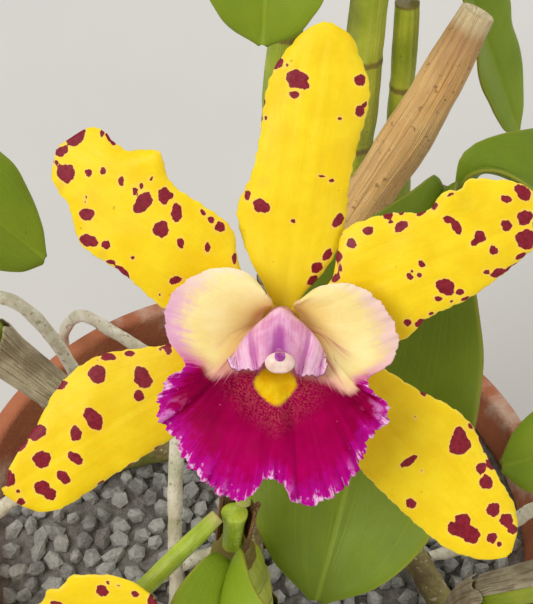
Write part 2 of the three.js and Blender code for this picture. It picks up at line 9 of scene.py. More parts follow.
# %% Load the solid model as a fixed frame
import math
import bpy
import numpy as np
from mathutils import Matrix, Vector


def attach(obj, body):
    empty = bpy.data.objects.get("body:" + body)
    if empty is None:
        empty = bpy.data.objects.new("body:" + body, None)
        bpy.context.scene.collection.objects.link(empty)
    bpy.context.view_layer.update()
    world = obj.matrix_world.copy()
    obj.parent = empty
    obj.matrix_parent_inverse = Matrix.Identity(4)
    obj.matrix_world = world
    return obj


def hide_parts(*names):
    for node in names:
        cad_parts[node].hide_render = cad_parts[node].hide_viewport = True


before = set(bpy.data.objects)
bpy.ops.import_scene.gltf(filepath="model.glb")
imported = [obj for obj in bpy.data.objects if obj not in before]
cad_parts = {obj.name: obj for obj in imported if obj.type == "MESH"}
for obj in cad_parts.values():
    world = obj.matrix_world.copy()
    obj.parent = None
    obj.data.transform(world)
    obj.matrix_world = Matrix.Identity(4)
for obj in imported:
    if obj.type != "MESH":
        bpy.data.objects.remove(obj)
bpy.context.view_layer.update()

# %% [markdown]
# ## The camera
#
# The photograph looks down into the open bloom from close by. The camera aims at a point just right of the
# column's foot, 50 degrees above level, and its distance sets how strongly near things grow.

# %% Camera at the photograph's viewing angle
CAMERA_AIM = Vector((0.0023, -0.038, 0.243))
CAMERA_ELEVATION = math.radians(50)
CAMERA_DISTANCE = 0.3
CAMERA_LENS = 95.3
towards_camera = Vector((0, -math.cos(CAMERA_ELEVATION), math.sin(CAMERA_ELEVATION)))


def linked(name, data):
    made = bpy.data.objects.new(name, data)
    bpy.context.scene.collection.objects.link(made)
    return made


camera = linked("camera", bpy.data.cameras.new("camera"))
camera.data.lens = CAMERA_LENS
camera.data.sensor_width = 36
camera.data.clip_start = 0.01
camera.location = CAMERA_AIM + CAMERA_DISTANCE * towards_camera
camera.rotation_euler = (-towards_camera).to_track_quat("-Z", "Y").to_euler()
bpy.context.scene.camera = camera
print("camera at", [round(value, 3) for value in camera.location])

# %% [markdown]
# ## Curves of numbers
#
# Petals, leaves and stems have outlines that swell and narrow. Each is kept as a few stops, a place and
# a value, with a smooth curve through them. The same stops shaped the solids, so the fine pieces fit
# over them.

# %% Smooth values, eased steps and uneven waves
MM = 0.001


def through(stops, at):
    places, values = (np.array(column, float) for column in zip(*stops))
    slopes = np.gradient(values, places)
    slopes[1:-1] = (values[2:] - values[:-2]) / (places[2:] - places[:-2])
    at = np.clip(np.asarray(at, float), places[0], places[-1])
    i = np.clip(np.searchsorted(places, at, side="right") - 1, 0, len(places) - 2)
    span = places[i + 1] - places[i]
    t = (at - places[i]) / span
    keep = (1 + 2 * t) * (1 - t) ** 2
    bend = t * (1 - t) ** 2 * slopes[i] - t * t * (1 - t) * slopes[i + 1]
    return keep * values[i] + (1 - keep) * values[i + 1] + span * bend


def ease(low, high, at):
    t = np.clip((np.asarray(at, float) - low) / (high - low), 0, 1)
    return t * t * (3 - 2 * t)


def mix(a, b, t):
    return a + (b - a) * t


def full_turn(count):
    return np.linspace(0, 2 * np.pi, count, endpoint=False)


def sampled(at, index, points):
    return np.stack([np.interp(at, index, points[:, k]) for k in range(3)], axis=-1)


def waves(at, wavelength, seed, octaves=3):
    random = np.random.default_rng(seed)
    total = 0.0
    for k in range(octaves):
        pitch = 2 * np.pi / wavelength * (1 + 0.73 * k) * random.uniform(0.85, 1.15)
        total = total + np.sin(pitch * at + random.uniform(0, 2 * np.pi)) / (1 + k)
    return total / 1.6


print("a stem 10 mm thick at its middle, 6 at its ends:",
      through([(0, 6), (0.5, 10), (1, 6)], [0, 0.25, 0.5]))

# %% [markdown]
# ## A smooth path through points
#
# Stems and leaves follow a curve through a few points, spaced evenly by length. It is the centripetal
# Catmull-Rom curve, which passes through every point and makes no loops where points lie close together.

# %% Smooth paths


def curve_between(a, b, c, d, t):
    steps = (b - a, c - b, d - c)
    t0, t1, t2 = (np.maximum(np.sqrt(np.linalg.norm(step, axis=-1, keepdims=True)), 1e-6) for step in steps)
    first = ((b - a) / t0 - (c - a) / (t0 + t1) + (c - b) / t1) * t1
    last = ((c - b) / t1 - (d - b) / (t1 + t2) + (d - c) / t2) * t1
    cubic = (2 * b - 2 * c + first + last) * t ** 3
    return b + first * t + (3 * c - 3 * b - 2 * first - last) * t ** 2 + cubic


def smooth_path(points, count):
    p = np.array(points, float)
    p = np.vstack([2 * p[0] - p[1], p, 2 * p[-1] - p[-2]])
    t = np.linspace(0, 1, 60, endpoint=False)[:, None]
    dense = [curve_between(*p[k:k + 4], t) for k in range(len(p) - 3)]
    dense = np.vstack(dense + [p[-2][None]])
    steps = np.linalg.norm(np.diff(dense, axis=0), axis=1)
    length = np.concatenate([[0], np.cumsum(steps)])
    at = np.linspace(0, length[-1], count)
    return sampled(at, length, dense)


def unit(v):
    return v / np.maximum(np.linalg.norm(v, axis=-1, keepdims=True), 1e-9)


print("the middle of an arch:", smooth_path([(0, 0, 0), (10, 0, 5), (20, 0, 0)], 3)[1].round(1))

# %% [markdown]
# ## From numbers to pieces
#
# A petal is a thin closed skin. A grid of points gives its middle surface, and moving each point along
# the surface's own normal gives a front and a back, joined round the rim. What the material needs to
# know, such as how far along the petal a point lies, is stored on the mesh as attributes that stay with
# it.

# %% Meshes, attributes and pieces


def new_mesh(name, points, faces, attributes=None, uv=None):
    mesh = bpy.data.meshes.new(name)
    mesh.from_pydata((np.asarray(points) * MM).tolist(), [], faces)
    for key, values in (attributes or {}).items():
        layer = mesh.attributes.new(key, "FLOAT", "POINT")
        layer.data.foreach_set("value", np.asarray(values, np.float32).ravel())
    if uv is not None:
        layer = mesh.uv_layers.new(name="UVMap")
        corner = np.zeros(len(mesh.loops), np.int32)
        mesh.loops.foreach_get("vertex_index", corner)
        layer.data.foreach_set("uv", np.asarray(uv, np.float32)[corner].ravel())
    return turned_outward(mesh)


def turned_outward(mesh):
    mesh.calc_loop_triangles()
    corners = np.zeros(len(mesh.loop_triangles) * 3, np.int32)
    mesh.loop_triangles.foreach_get("vertices", corners)
    co = np.zeros(len(mesh.vertices) * 3, np.float64)
    mesh.vertices.foreach_get("co", co)
    a, b, c = co.reshape(-1, 3)[corners].reshape(-1, 3, 3).transpose(1, 0, 2)
    if np.einsum("ij,ij->", a, np.cross(b, c)) < 0:
        mesh.flip_normals()
    return mesh


def baked(holder):
    mesh = bpy.data.meshes.new_from_object(holder.evaluated_get(bpy.context.evaluated_depsgraph_get()))
    bpy.data.objects.remove(holder)
    return mesh


def add_piece(name, mesh, material, slot, *nodes, smooth=True):
    mesh.materials.clear()
    mesh.materials.append(material)
    mesh.polygons.foreach_set("use_smooth", [smooth] * len(mesh.polygons))
    piece = linked(name, mesh)
    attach(piece, "root")
    if nodes:
        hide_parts(*nodes)
    print(f"{name}: {len(mesh.polygons)} faces")
    return piece


def skin_mesh(name, grid, half_thickness, attributes, towards=1):
    rows, columns = grid.shape[:2]
    along = np.gradient(grid, axis=0)
    across = np.gradient(grid, axis=1)
    normal = unit(np.cross(across, along)) * towards
    offset = normal * np.broadcast_to(half_thickness, (rows, columns))[..., None]
    points = np.concatenate([(grid + offset).reshape(-1, 3), (grid - offset).reshape(-1, 3)])
    n = rows * columns
    i, j = np.meshgrid(np.arange(rows - 1), np.arange(columns - 1), indexing="ij")
    a = (i * columns + j).ravel()
    front = np.stack([a, a + 1, a + columns + 1, a + columns], axis=1)
    back = front[:, ::-1] + n
    rim = np.concatenate([np.arange(columns - 1), np.arange(rows - 1) * columns + columns - 1,
                          (rows - 1) * columns + np.arange(columns - 1, 0, -1),
                          np.arange(rows - 1, 0, -1) * columns])
    after = np.roll(rim, -1)
    edge = np.stack([rim, rim + n, after + n, after], axis=1)
    faces = np.concatenate([front, back, edge]).tolist()
    both = {key: np.tile(np.broadcast_to(value, (rows, columns)).ravel(), 2) for key,
            value in attributes.items()}
    both["front"] = np.repeat([1.0, 0.0], n)
    u, v = np.meshgrid(np.linspace(0, 1, columns), np.linspace(0, 1, rows))
    uv = np.tile(np.stack([u.ravel(), v.ravel()], axis=1), (2, 1))
    return new_mesh(name, points, faces, both, uv)


# %% [markdown]
# ## Nodes in a few words
#
# Materials and geometry trees are both made of nodes. These helpers add a node, set its sockets by name
# and plug in whatever comes from another node, so that each material further down reads like a recipe.
# A helper works in the tree that its first socket belongs to.

# %% Helpers for node trees


def home(*values):
    return next(value.id_data for value in values if isinstance(value, bpy.types.NodeSocket))


def plug(value, socket):
    if isinstance(value, bpy.types.NodeSocket):
        socket.id_data.links.new(value, socket)
    elif value is not None:
        socket.default_value = value


def node(tree, kind, settings=None, **sockets):
    made = tree.nodes.new(kind)
    for key, value in (settings or {}).items():
        setattr(made, key, value)
    for key, value in sockets.items():
        plug(value, made.inputs[key.replace("_", " ")])
    return made


def maths(operation, a, b=None):
    made = node(home(a, b), "ShaderNodeMath", {"operation": operation})
    plug(a, made.inputs[0])
    plug(b, made.inputs[1])
    return made.outputs[0]


def times(a, b):
    return maths("MULTIPLY", a, b)


def plus(a, b):
    return maths("ADD", a, b)


def centred(value, size):
    return times(plus(value, -0.5), size)


def between(value, low, high, start=0.0, end=1.0):
    made = node(home(value), "ShaderNodeMapRange", {"interpolation_type": "SMOOTHSTEP"}, Value=value,
                From_Min=low, From_Max=high, To_Min=start, To_Max=end)
    return made.outputs["Result"]


def tinted(factor, a, b):
    made = node(home(factor), "ShaderNodeMix", {"data_type": "RGBA"})
    for value, place in ((factor, 0), (a, 6), (b, 7)):
        plug(value, made.inputs[place])
    return made.outputs[2]


def tint(skin, share, red, green, blue):
    return tinted(share, skin, colour(red, green, blue))


def noise(where, scale, detail=3.0, roughness=0.55):
    return node(home(where), "ShaderNodeTexNoise", Vector=where, Scale=scale, Detail=detail,
                Roughness=roughness).outputs[0]


def attribute(surface, name):
    return node(surface.id_data, "ShaderNodeAttribute", {"attribute_name": name}).outputs["Fac"]


def colour(*values):
    shares = [value / 255 for value in values]
    linear = [share / 12.92 if share <= 0.04045 else ((share + 0.055) / 1.055) ** 2.4 for share in shares]
    return (*linear, 1.0)


print("middle grey in linear light:", [round(value, 3) for value in colour(128, 128, 128)])

# %% [markdown]
# A material has a recipe: a function that is given the standard surface and where a point lies on its
# piece. It returns the skin's colour, a height for the fine relief with its depth in metres and its
# strength, and, where it varies, the roughness.

# %% Make a material from a recipe


def new_material(name, recipe, *colours, roughness=0.5, subsurface=0.0, radius=(1.0, 0.5, 0.25), reach=0.0015,
                 specular=0.5):
    material = bpy.data.materials.new(name)
    material.use_nodes = True
    surface = material.node_tree.nodes["Principled BSDF"]
    settings = {"Roughness": roughness, "Subsurface Weight": subsurface, "Subsurface Radius": radius,
                "Subsurface Scale": reach, "Specular IOR Level": specular}
    for key, value in settings.items():
        surface.inputs[key].default_value = value
    place = node(material.node_tree, "ShaderNodeTexCoord").outputs["Object"]
    skin, *relief = recipe(surface, place, *colours)
    plug(skin, surface.inputs["Base Color"])
    if relief:
        height, distance, strength, *varied = relief
        bump = node(material.node_tree, "ShaderNodeBump", Height=height, Distance=distance, Strength=strength)
        plug(bump.outputs["Normal"], surface.inputs["Normal"])
        plug(varied[0] if varied else None, surface.inputs["Roughness"])
    print("material:", name)
    return material


# %% [markdown]
# ## Effects that many surfaces share
#
# Living skins are never one flat colour, and most have fine veins and a fine grain. Those three effects are
# node groups, built once here. Every material below uses them with numbers of its own.

# %% Shared shader groups
FLOAT, COLOUR, VECTOR = "NodeSocketFloat", "NodeSocketColor", "NodeSocketVector"


def new_tree(kind, name, inputs, outputs):
    tree = bpy.data.node_groups.new(name, kind)
    for way, rows in (("INPUT", inputs), ("OUTPUT", outputs)):
        for label, socket in rows:
            tree.interface.new_socket(label, in_out=way, socket_type=socket)
    print("tree:", name, [label for label, socket in inputs])
    return tree, tree.nodes.new("NodeGroupInput").outputs, tree.nodes.new("NodeGroupOutput").inputs


mottle_group, start, end = new_tree(
    "ShaderNodeTree", "Mottled colour", [("Vector", VECTOR), ("Scale", FLOAT), ("Low", COLOUR),
                                         ("High", COLOUR)],
    [("Color", COLOUR)])
cloud = between(noise(start["Vector"], start["Scale"], 5.0, 0.6), 0.32, 0.68)
plug(tinted(cloud, start["Low"], start["High"]), end["Color"])

vein_group, start, end = new_tree(
    "ShaderNodeTree", "Lengthwise veins",
    [("Across", FLOAT), ("Along", FLOAT), ("Count", FLOAT), ("Wander", FLOAT)], [("Mask", FLOAT)])
lane = node(vein_group, "ShaderNodeCombineXYZ", X=times(start["Across"], start["Count"]),
            Y=times(start["Along"], start["Wander"])).outputs[0]
plug(between(noise(lane, 1.0, 2.0, 0.65), 0.5, 0.66), end["Mask"])

grain_group, start, end = new_tree(
    "ShaderNodeTree", "Fine grain", [("Vector", VECTOR), ("Scale", FLOAT)], [("Height", FLOAT)])
cells = node(grain_group, "ShaderNodeTexVoronoi", Vector=start["Vector"], Scale=start["Scale"])
dust = noise(start["Vector"], times(start["Scale"], 0.45), 4.0, 0.65)
plug(plus(times(cells.outputs["Distance"], 0.5), dust), end["Height"])


def use_group(group, **sockets):
    return node(home(*sockets.values()), "ShaderNodeGroup", {"node_tree": group}, **sockets).outputs[0]


def mottled(where, scale, low, high):
    return use_group(mottle_group, Vector=where, Scale=scale, Low=low, High=high)


def veined(across, along, count, wander):
    return use_group(vein_group, Across=across, Along=along, Count=count, Wander=wander)


def grained(where, scale):
    return use_group(grain_group, Vector=where, Scale=scale)


# %% [markdown]
# ## The waxy yellow of sepals and petals
#
# The yellow skin is thick and waxy, so a little light passes into it. Fine veins run its length, its
# margin is paler and its foot greener. Each maroon spot has a ragged edge and a thin pale ring. The
# mesh carries the distance to the nearest spot's edge, in millimetres, and noise roughens that distance
# before it is cut off sharply, so the spots stay crisp however close one looks.

# %% Material of the sepals and petals


def tepal_recipe(surface, place):
    along = attribute(surface, "along")
    across = attribute(surface, "across")
    skin = mottled(place, 150.0, colour(241, 203, 12), colour(248, 217, 26))
    broad = veined(across, along, 9.0, 2.0)
    skin = tint(skin, times(broad, 0.14), 234, 192, 10)
    veins = veined(across, along, 34.0, 3.2)
    skin = tint(skin, times(veins, 0.12), 224, 180, 10)
    skin = tint(skin, between(along, 0.34, 0.06, 0.0, 0.6), 236, 214, 44)
    bruise = times(between(noise(place, 75.0, 1.0), 0.72, 0.78, 0.0, 0.4), along)
    skin = tint(skin, bruise, 200, 150, 60)
    stains = between(noise(place, 700.0, 1.0), 0.775, 0.8, 0.0, 0.5)
    skin = tint(skin, stains, 176, 122, 30)
    edge = plus(maths("ABSOLUTE", across), times(noise(place, 500.0), 0.1))
    skin = tint(skin, between(edge, 1.0, 1.07, 0.0, 0.4), 250, 226, 120)
    spot = plus(attribute(surface, "spot"), centred(noise(place, 1500.0, 3.0), 0.55))
    shows = between(attribute(surface, "front"), 0.2, 0.8, 0.3, 1.0)
    halo = times(between(spot, -0.5, -0.06), shows)
    skin = tint(skin, times(halo, 0.36), 244, 206, 120)
    maroon = mottled(place, 1300.0, colour(118, 14, 30), colour(142, 30, 48))
    skin = tinted(times(between(spot, -0.05, 0.07), shows), skin, maroon)
    height = plus(times(veins, -0.35), grained(place, 5200.0))
    return skin, height, 0.00006, 0.45, between(noise(place, 260.0), 0.3, 0.7, 0.38, 0.5)


spotted_yellow = new_material("waxy spotted yellow", tepal_recipe, roughness=0.48, subsurface=0.12,
                              reach=0.0012, specular=0.22)

# %% [markdown]
# ## Sepals and petals
#
# A bloom has three sepals in an outer ring and two petals in front of them. Each is kept as its angle
# round the bloom, its half widths to the left and right of the midline at a few distances from the
# centre, and how far it leans forward. The spots are listed for each one: distance along,
# distance across, length, width and turn in degrees.

# %% Outlines of the sepals and petals, in millimetres
SEPAL_FOOT = -1.9
PETAL_FOOT = -0.5

TEPALS = {
    "dorsal_sepal": {
        "angle": 8.6, "start": 2.2, "length": 56, "curl": -0.016,
        "left": [(0, 1.6), (5, 3.4), (10, 7), (15, 9.8), (20, 11.2), (26, 9.6), (34, 9), (42, 9.1),
                 (47, 8), (51, 5.8), (54.4, 3.2), (56, 0.4)],
        "right": [(0, 1.6), (5, 3.2), (10, 6.4), (15, 8.5), (21, 9.1), (27, 8.6), (35, 9), (41, 9.8),
                  (46, 9.4), (51, 6.7), (54.4, 4.4), (56, 0.4)],
        "depth": [(0, SEPAL_FOOT), (12, -1.6), (30, 0.2), (56, -0.6)],
    },
    "lateral_sepal_left": {
        "angle": -121.6, "start": 2.2, "length": 61.9, "curl": -0.012,
        "left": [(0, 1.6), (6, 3.6), (14, 6.6), (22, 8.6), (32, 8.7), (42, 8.7), (50, 9), (54, 8.9),
                 (58, 7.5), (60.6, 4.4), (61.9, 0.4)],
        "right": [(0, 1.6), (6, 3), (14, 5.2), (20, 6.9), (26, 9.4), (32, 11.8), (38, 12.3), (44, 10.6),
                  (50, 7.2), (56, 4.6), (59, 2.6), (60.8, 0.4)],
        "depth": [(0, SEPAL_FOOT), (15, -1.8), (35, -0.4), (61, 1.6)],
    },
    "lateral_sepal_right": {
        "angle": 135.8, "start": 2.2, "length": 62.8, "curl": -0.012,
        "left": [(0, 1.6), (6, 3), (14, 5.6), (22, 7.8), (29, 9.6), (36, 11.8), (41, 11.7), (46, 9.9),
                 (52, 8.4), (57, 7), (60.8, 4), (62.8, 0.4)],
        "right": [(0, 1.6), (6, 3.6), (14, 7), (22, 9), (30, 9.3), (40, 9.2), (48, 8.8), (54, 7.9),
                  (58.5, 5.8), (61.4, 3), (62.8, 0.4)],
        "depth": [(0, SEPAL_FOOT), (15, -1.8), (35, -0.4), (61, 1.2)],
    },
    "petal_left": {
        "angle": -51.7, "start": 2.2, "length": 52.4, "curl": -0.008,
        "left": [(0, 1.6), (5, 4), (10, 8), (17, 11.4), (29, 11), (38, 11.6), (41.5, 9.6), (44.5, 7.2),
                 (48, 6.2), (50.6, 4.4), (52.4, 0.4)],
        "right": [(0, 1.6), (7, 1.9), (13, 3.6), (18, 8.1), (25, 8.3), (31, 7.8), (34, 8.8), (37, 11.2),
                  (39.2, 10.2), (42, 7.6), (45.5, 7.3), (48.5, 7.6), (50.8, 5.4), (52.4, 0.4)],
        "depth": [(0, PETAL_FOOT), (12, 0), (30, 1.2), (53, -1.4)],
    },
    "petal_right": {
        "angle": 67.2, "start": 2.2, "length": 53.8, "curl": -0.008,
        "left": [(0, 1.6), (7, 1.9), (12, 3.8), (17, 10.8), (22, 11.7), (27, 10.9), (33, 8.9),
                 (37.5, 11.2), (39.6, 10.3), (42.5, 11.2), (46.5, 9.4), (50.2, 7.4), (52.6, 4.2),
                 (53.8, 0.4)],
        "right": [(0, 1.6), (5, 4), (10, 8), (16, 11.4), (21, 11.9), (25, 10), (34, 9.3), (41, 7.7),
                  (47, 5.9), (50.2, 4.6), (52.6, 3), (53.8, 0.4)],
        "depth": [(0, PETAL_FOOT), (12, 0), (30, 1.4), (53, 0.4)],
    },
}
print("lengths, in mm:", {name: tepal["length"] for name, tepal in TEPALS.items()})

# %% [markdown]
# The spots were judged one by one against their sepal or petal: large ones along the margins, small ones
# between them, hardly any near the centre.

# %% Spots of the open bloom: along, across, length, width and turn
SPOTS = {
    "petal_left": [
        (51, 3.5, 2.4, 4, 15), (51.5, 0, 1.6, 2.6, 15), (51, -2.3, 1, 0.8, 0), (48.5, -2.7, 3.4, 3.2, 0),
        (45.2, 0, 1.4, 1.4, 0), (43.3, 2, 1, 1.3, -38), (39.6, 2.6, 1, 1.8, -38),
        (47.7, 7.2, 0.8, 1.3, -38), (46, 7.3, 3, 0.9, 18), (42.3, 7.9, 1.2, 0.6, 0),
        (35.5, 6.5, 0.7, 0.9, 0), (36.1, 4.2, 0.8, 1.1, -38), (36.4, 2.7, 1, 1.4, -38),
        (34, 2, 2.6, 4.4, 0), (31.8, 5.4, 2, 3, -38), (30.9, 6, 1.2, 1.4, 0), (28, 4.3, 1.9, 3.4, -38),
        (28.4, 0.2, 2.8, 3, 0), (40.8, -6.3, 2.8, 2.2, -40), (37.6, -10, 3.6, 2.2, -25),
        (34.6, -8.5, 1.7, 1.6, 0), (29.2, -7.3, 0.7, 0.7, 0), (31.9, -10.6, 2, 0.9, -35),
        (29, -10.8, 3.4, 1.5, 10), (24, 0.4, 1.3, 2.1, -38), (19.6, 2.7, 1, 2, -38),
        (20.5, -5.8, 2.4, 1.4, -58), (24.2, 7.3, 1.3, 0.8, 11), (22.2, 7.2, 1.3, 1.1, 0),
        (20.1, 7.1, 1.9, 1.8, 0), (14.4, 4, 0.8, 1.9, -38), (21, -9.8, 0.6, 0.5, 0),
        (42.9, -3.8, 0.5, 0.5, 0), (42.4, -4.6, 0.5, 0.4, 0)],
    "dorsal_sepal": [
        (47.3, -7.8, 2.4, 1.8, 40), (47.3, -6.1, 0.6, 0.6, 0), (45.1, -3.9, 3.2, 3.8, 0),
        (44.2, -2.4, 1.6, 1.8, 0), (42.2, -3.9, 1.3, 1.9, 0), (46.6, 7.5, 2, 2.1, 0),
        (41, 8.3, 2.1, 1.7, -20), (42.2, 9, 1.4, 0.8, 25), (39.2, 4.9, 0.7, 0.8, 0),
        (40, -9.1, 1.6, 0.4, 0), (28.3, 3.3, 0.5, 1.3, 0), (27.7, 5.2, 0.8, 0.9, 0),
        (22.5, -9.6, 2, 1.1, 0), (21, -6.8, 2.4, 3.2, 20), (19.2, -0.7, 0.8, 1, 0),
        (20.4, 7.6, 2.8, 1.7, 25), (13.7, 6.7, 2.3, 1.5, 25), (11, 5.1, 2.3, 1.9, 25),
        (8.4, 4.7, 2.2, 1.6, 35), (7.9, -6.1, 0.8, 0.6, 0), (37.2, -8.4, 0.8, 0.6, 0),
        (24.5, 9.4, 1.2, 0.4, 0)],
    "petal_right": [
        (17.9, -8.6, 1.7, 1.9, 0), (21.6, -9.7, 2, 1.6, 0), (17, -10.8, 0.5, 0.5, 0),
        (14.8, -7.2, 1.3, 2, 20), (14.2, -5.2, 0.8, 1.3, 20), (12.8, -3.7, 2, 1.1, -30),
        (26.1, -10.8, 1.9, 1.3, 0), (26, -9.6, 0.9, 0.7, 0), (28.5, -10.2, 1.2, 0.6, 0),
        (27.5, -8.1, 2.8, 1.6, -11), (31.9, -9, 2.2, 0.9, -10), (34.7, -9.2, 1.5, 0.9, -36),
        (38.7, -11.4, 1.6, 0.7, 20), (38.2, -10.3, 1.4, 0.5, -5), (36.1, -6, 2.2, 1.4, 42),
        (36.9, -4.1, 1.6, 2.6, -8), (40.2, -0.8, 2, 2.3, 0), (38.9, -0.2, 1.6, 1.3, 0),
        (41.6, 2.5, 1.5, 1.8, -20), (45.5, -0.8, 1.9, 2.1, -20), (47.3, -5.3, 2, 1.3, 34),
        (50.6, -5.2, 2.2, 3.4, -22), (49.2, -0.8, 2.9, 2.6, 0), (50.6, 1.5, 1.2, 2, 0),
        (47.9, 3, 3.6, 3.6, 0), (46, 5.6, 2.2, 1, -5), (38.9, 5.8, 1.2, 0.9, 40),
        (40.8, 6.8, 2.6, 1.6, 0), (43.5, 6.9, 3.2, 0.7, -8), (28.4, -0.3, 1.1, 1.6, -10),
        (26.3, 0.3, 0.6, 0.6, 0), (27.2, 1.5, 0.9, 1, 0), (25.5, 1.1, 1, 1.4, -15),
        (30.9, 5.4, 3.6, 2.8, 56), (33, 7.4, 1.7, 1.2, 20), (28.8, 7, 1.5, 1, 30), (31, 8.5, 0.7, 0.5, 0),
        (33.4, 9, 1.7, 0.7, 0), (26.6, 9.2, 1.1, 0.6, 0), (21.9, 9.1, 1.4, 1.4, 0),
        (24, 10.1, 2, 1.3, -17)],
    "lateral_sepal_left": [
        (42, 11.2, 2.4, 1.5, 10), (31.6, 11, 2.8, 1.3, 31), (33.6, 11.4, 0.5, 0.5, 0),
        (35, 9.4, 3.2, 3.2, 0), (27.8, 9.4, 2, 1, 31), (28, 4.4, 3, 4.2, 5), (30.4, 1.9, 1.9, 2.1, 20),
        (40, 2.7, 2.8, 4.6, 0), (44.3, 2.1, 2.1, 2.8, 30), (50.6, 6.2, 3.8, 2.6, 13),
        (54.4, 5.7, 3.4, 1.7, -8), (52.4, 1.3, 3.2, 3.2, 0), (46.9, -1.8, 1.8, 3.2, -19),
        (59.7, 1.6, 2.4, 3.2, 30), (50.8, -3.7, 1.9, 3, -10), (59.5, -1.4, 0.8, 0.8, 0),
        (60.1, -3.4, 1.4, 1.4, 0), (55.4, -3.2, 2.8, 2.7, 0), (54.8, -5.2, 2.3, 2.4, 0),
        (22.2, 7.2, 0.9, 0.6, 0), (21, 6.5, 1.4, 2.2, 25), (45.8, -8.6, 1.7, 0.6, 0),
        (39, -8.6, 1.6, 0.4, 0), (33, -8.6, 1.5, 0.5, 0)],
    "lateral_sepal_right": [
        (28.8, -9.7, 2, 1.1, 10), (31.2, -5.3, 0.6, 0.6, 0), (40.8, -7.8, 3.8, 4, 10),
        (39.4, -9.2, 2.6, 2.2, 0), (40, -11.5, 1.4, 0.7, 3), (43.9, -11, 2.6, 0.9, 16),
        (45.4, -10.1, 0.5, 0.6, 0), (47, -7.6, 1.9, 2.2, 0), (49.6, -6.4, 2.7, 2.5, 0),
        (47.8, -9.2, 2.3, 1.2, 9), (36.4, 1.4, 1.4, 3.6, 9), (42.8, 6.7, 2, 1.8, 0),
        (54.3, -3.8, 2.4, 2.6, 0), (57.5, -4.2, 2.6, 2.4, 0), (59.5, -3.8, 2.4, 1.7, 0),
        (58.2, 0.1, 1.9, 2.1, 0), (60, 0, 1, 0.9, 0), (51.8, 1.9, 2.8, 2.8, 0), (52, 4, 2.8, 2.6, 0),
        (53.4, 2.9, 3.2, 3.2, 0), (55.2, 2.6, 3, 3.2, 0), (39.5, 0.8, 0.4, 0.5, 0)],
}
print("spots on the open bloom:", sum(len(spots) for spots in SPOTS.values()))

# %% [markdown]
# Each spot is an oval with a few shallow lobes of its own. The field below is positive inside a spot
# and falls away outside, so that the material can draw both the spot and its ring from one number.

# %% Distance to the nearest spot's edge


def spot_field(along, across, spots, seed):
    random = np.random.default_rng(seed)
    field = np.full(along.shape, -9.0)
    for s, w, long, wide, tilt in spots:
        tilt = math.radians(tilt)
        ds, dw = along - s, across - w
        u = ds * math.cos(tilt) + dw * math.sin(tilt)
        v = dw * math.cos(tilt) - ds * math.sin(tilt)
        size = math.sqrt(long * wide) / 2
        turn = np.arctan2(v, u)
        lobes = 1.0
        for count, depth in ((3, 0.06), (5, 0.05), (8, 0.03)):
            lobes = lobes + depth * np.sin(count * turn + random.uniform(0, 2 * np.pi))
        field = np.maximum(field, size * (1.05 * lobes - np.hypot(2 * u / long, 2 * v / wide)))
    return field


print("at the middle of a 2 mm spot:", spot_field(np.zeros(1), np.zeros(1), [(0, 0, 2, 2, 0)], 1).round(2))

# %% [markdown]
# The second bloom is seen only from other sides, so its spots come from the outlines by a seeded draw: none
# near the centre, more and larger ones towards the tip.

# %% Spots of the other bloom
DRAWN_SPOTS = 24


def drawn_spots(tepal, seed):
    random = np.random.default_rng(seed)
    spots = []
    while len(spots) < DRAWN_SPOTS:
        s = tepal["length"] * (1 - 0.78 * random.random() ** 1.4)
        side = random.uniform(-0.92, 0.92)
        w = side * float(through(tepal["left" if side < 0 else "right"], s))
        size = random.choice([0.8, 1.4, 2.0, 2.6, 3.6], p=[0.2, 0.3, 0.25, 0.17, 0.08])
        if all(math.hypot(s - spot[0], w - spot[1]) > (size + spot[2]) / 2 + 0.6 for spot in spots):
            spots.append((s, w, size, size * random.uniform(0.7, 1.1), random.uniform(-60, 60)))
    return spots


print("the first drawn spot:", [round(float(value), 1) for value in drawn_spots(TEPALS["petal_left"], 1)[0]])

# %% [markdown]
# The fine surface adds what is too small for the solid: a sunken midvein, a margin that thins and waves a
# little, and on each petal the fold or knob where its edge buckled as it opened.

# %% Shape a sepal or petal
TEPAL_HALF = 0.42
FOLDS = {"petal_left": (37.5, 1, 1.7), "petal_right": (38.2, -1, 1.5)}


def tepal_grid(name, tepal, spots, rows, columns, seed):
    t = np.linspace(0, 1, rows)[:, None]
    v = np.linspace(-1, 1, columns)[None, :]
    v = np.sign(v) * (1 - (1 - np.abs(v)) ** 1.15)
    s = mix(tepal["start"], tepal["length"], 1 - (1 - t) ** 1.25) + 0 * v
    half = np.where(v < 0, through(tepal["left"], s), through(tepal["right"], s))
    margin = np.abs(v) ** 6
    nibble = 0.16 * waves(s, 3.1, seed + (v > 0), 3) * ease(6, 14, s) * margin
    reach = v * (half + nibble)
    z = through(tepal["depth"], s) + tepal["curl"] * reach ** 2
    z = z - 0.12 * np.exp(-(reach / 0.8) ** 2) * ease(2, 10, s) * ease(tepal["length"], tepal["length"] - 8,
                                                                       s)
    z = z + 0.035 * waves(reach, 3.4, seed + 3, 2) * (1 - margin) + 0.16 * waves(s + reach, 17, seed + 4, 2)
    z = z + 0.4 * waves(s, 15, seed + 5 + (v > 0), 2) * margin - 0.3 * np.abs(v) ** 12
    if name in FOLDS:
        middle, side, rise = FOLDS[name]
        z = z + rise * np.exp(-((s - middle) / 2.6) ** 2) * ease(0.45, 1, side * v)
    turn = math.radians(tepal["angle"])
    out = np.array([math.sin(turn), math.cos(turn), 0])
    right = np.array([math.cos(turn), -math.sin(turn), 0])
    grid = s[..., None] * out + reach[..., None] * right
    grid[..., 2] += z
    thickness = TEPAL_HALF * (1 - 0.62 * np.abs(v) ** 5) + 0 * s
    marks = {"along": s / tepal["length"], "across": v + 0 * s, "spot": spot_field(s, reach, spots, seed)}
    return grid, thickness, marks


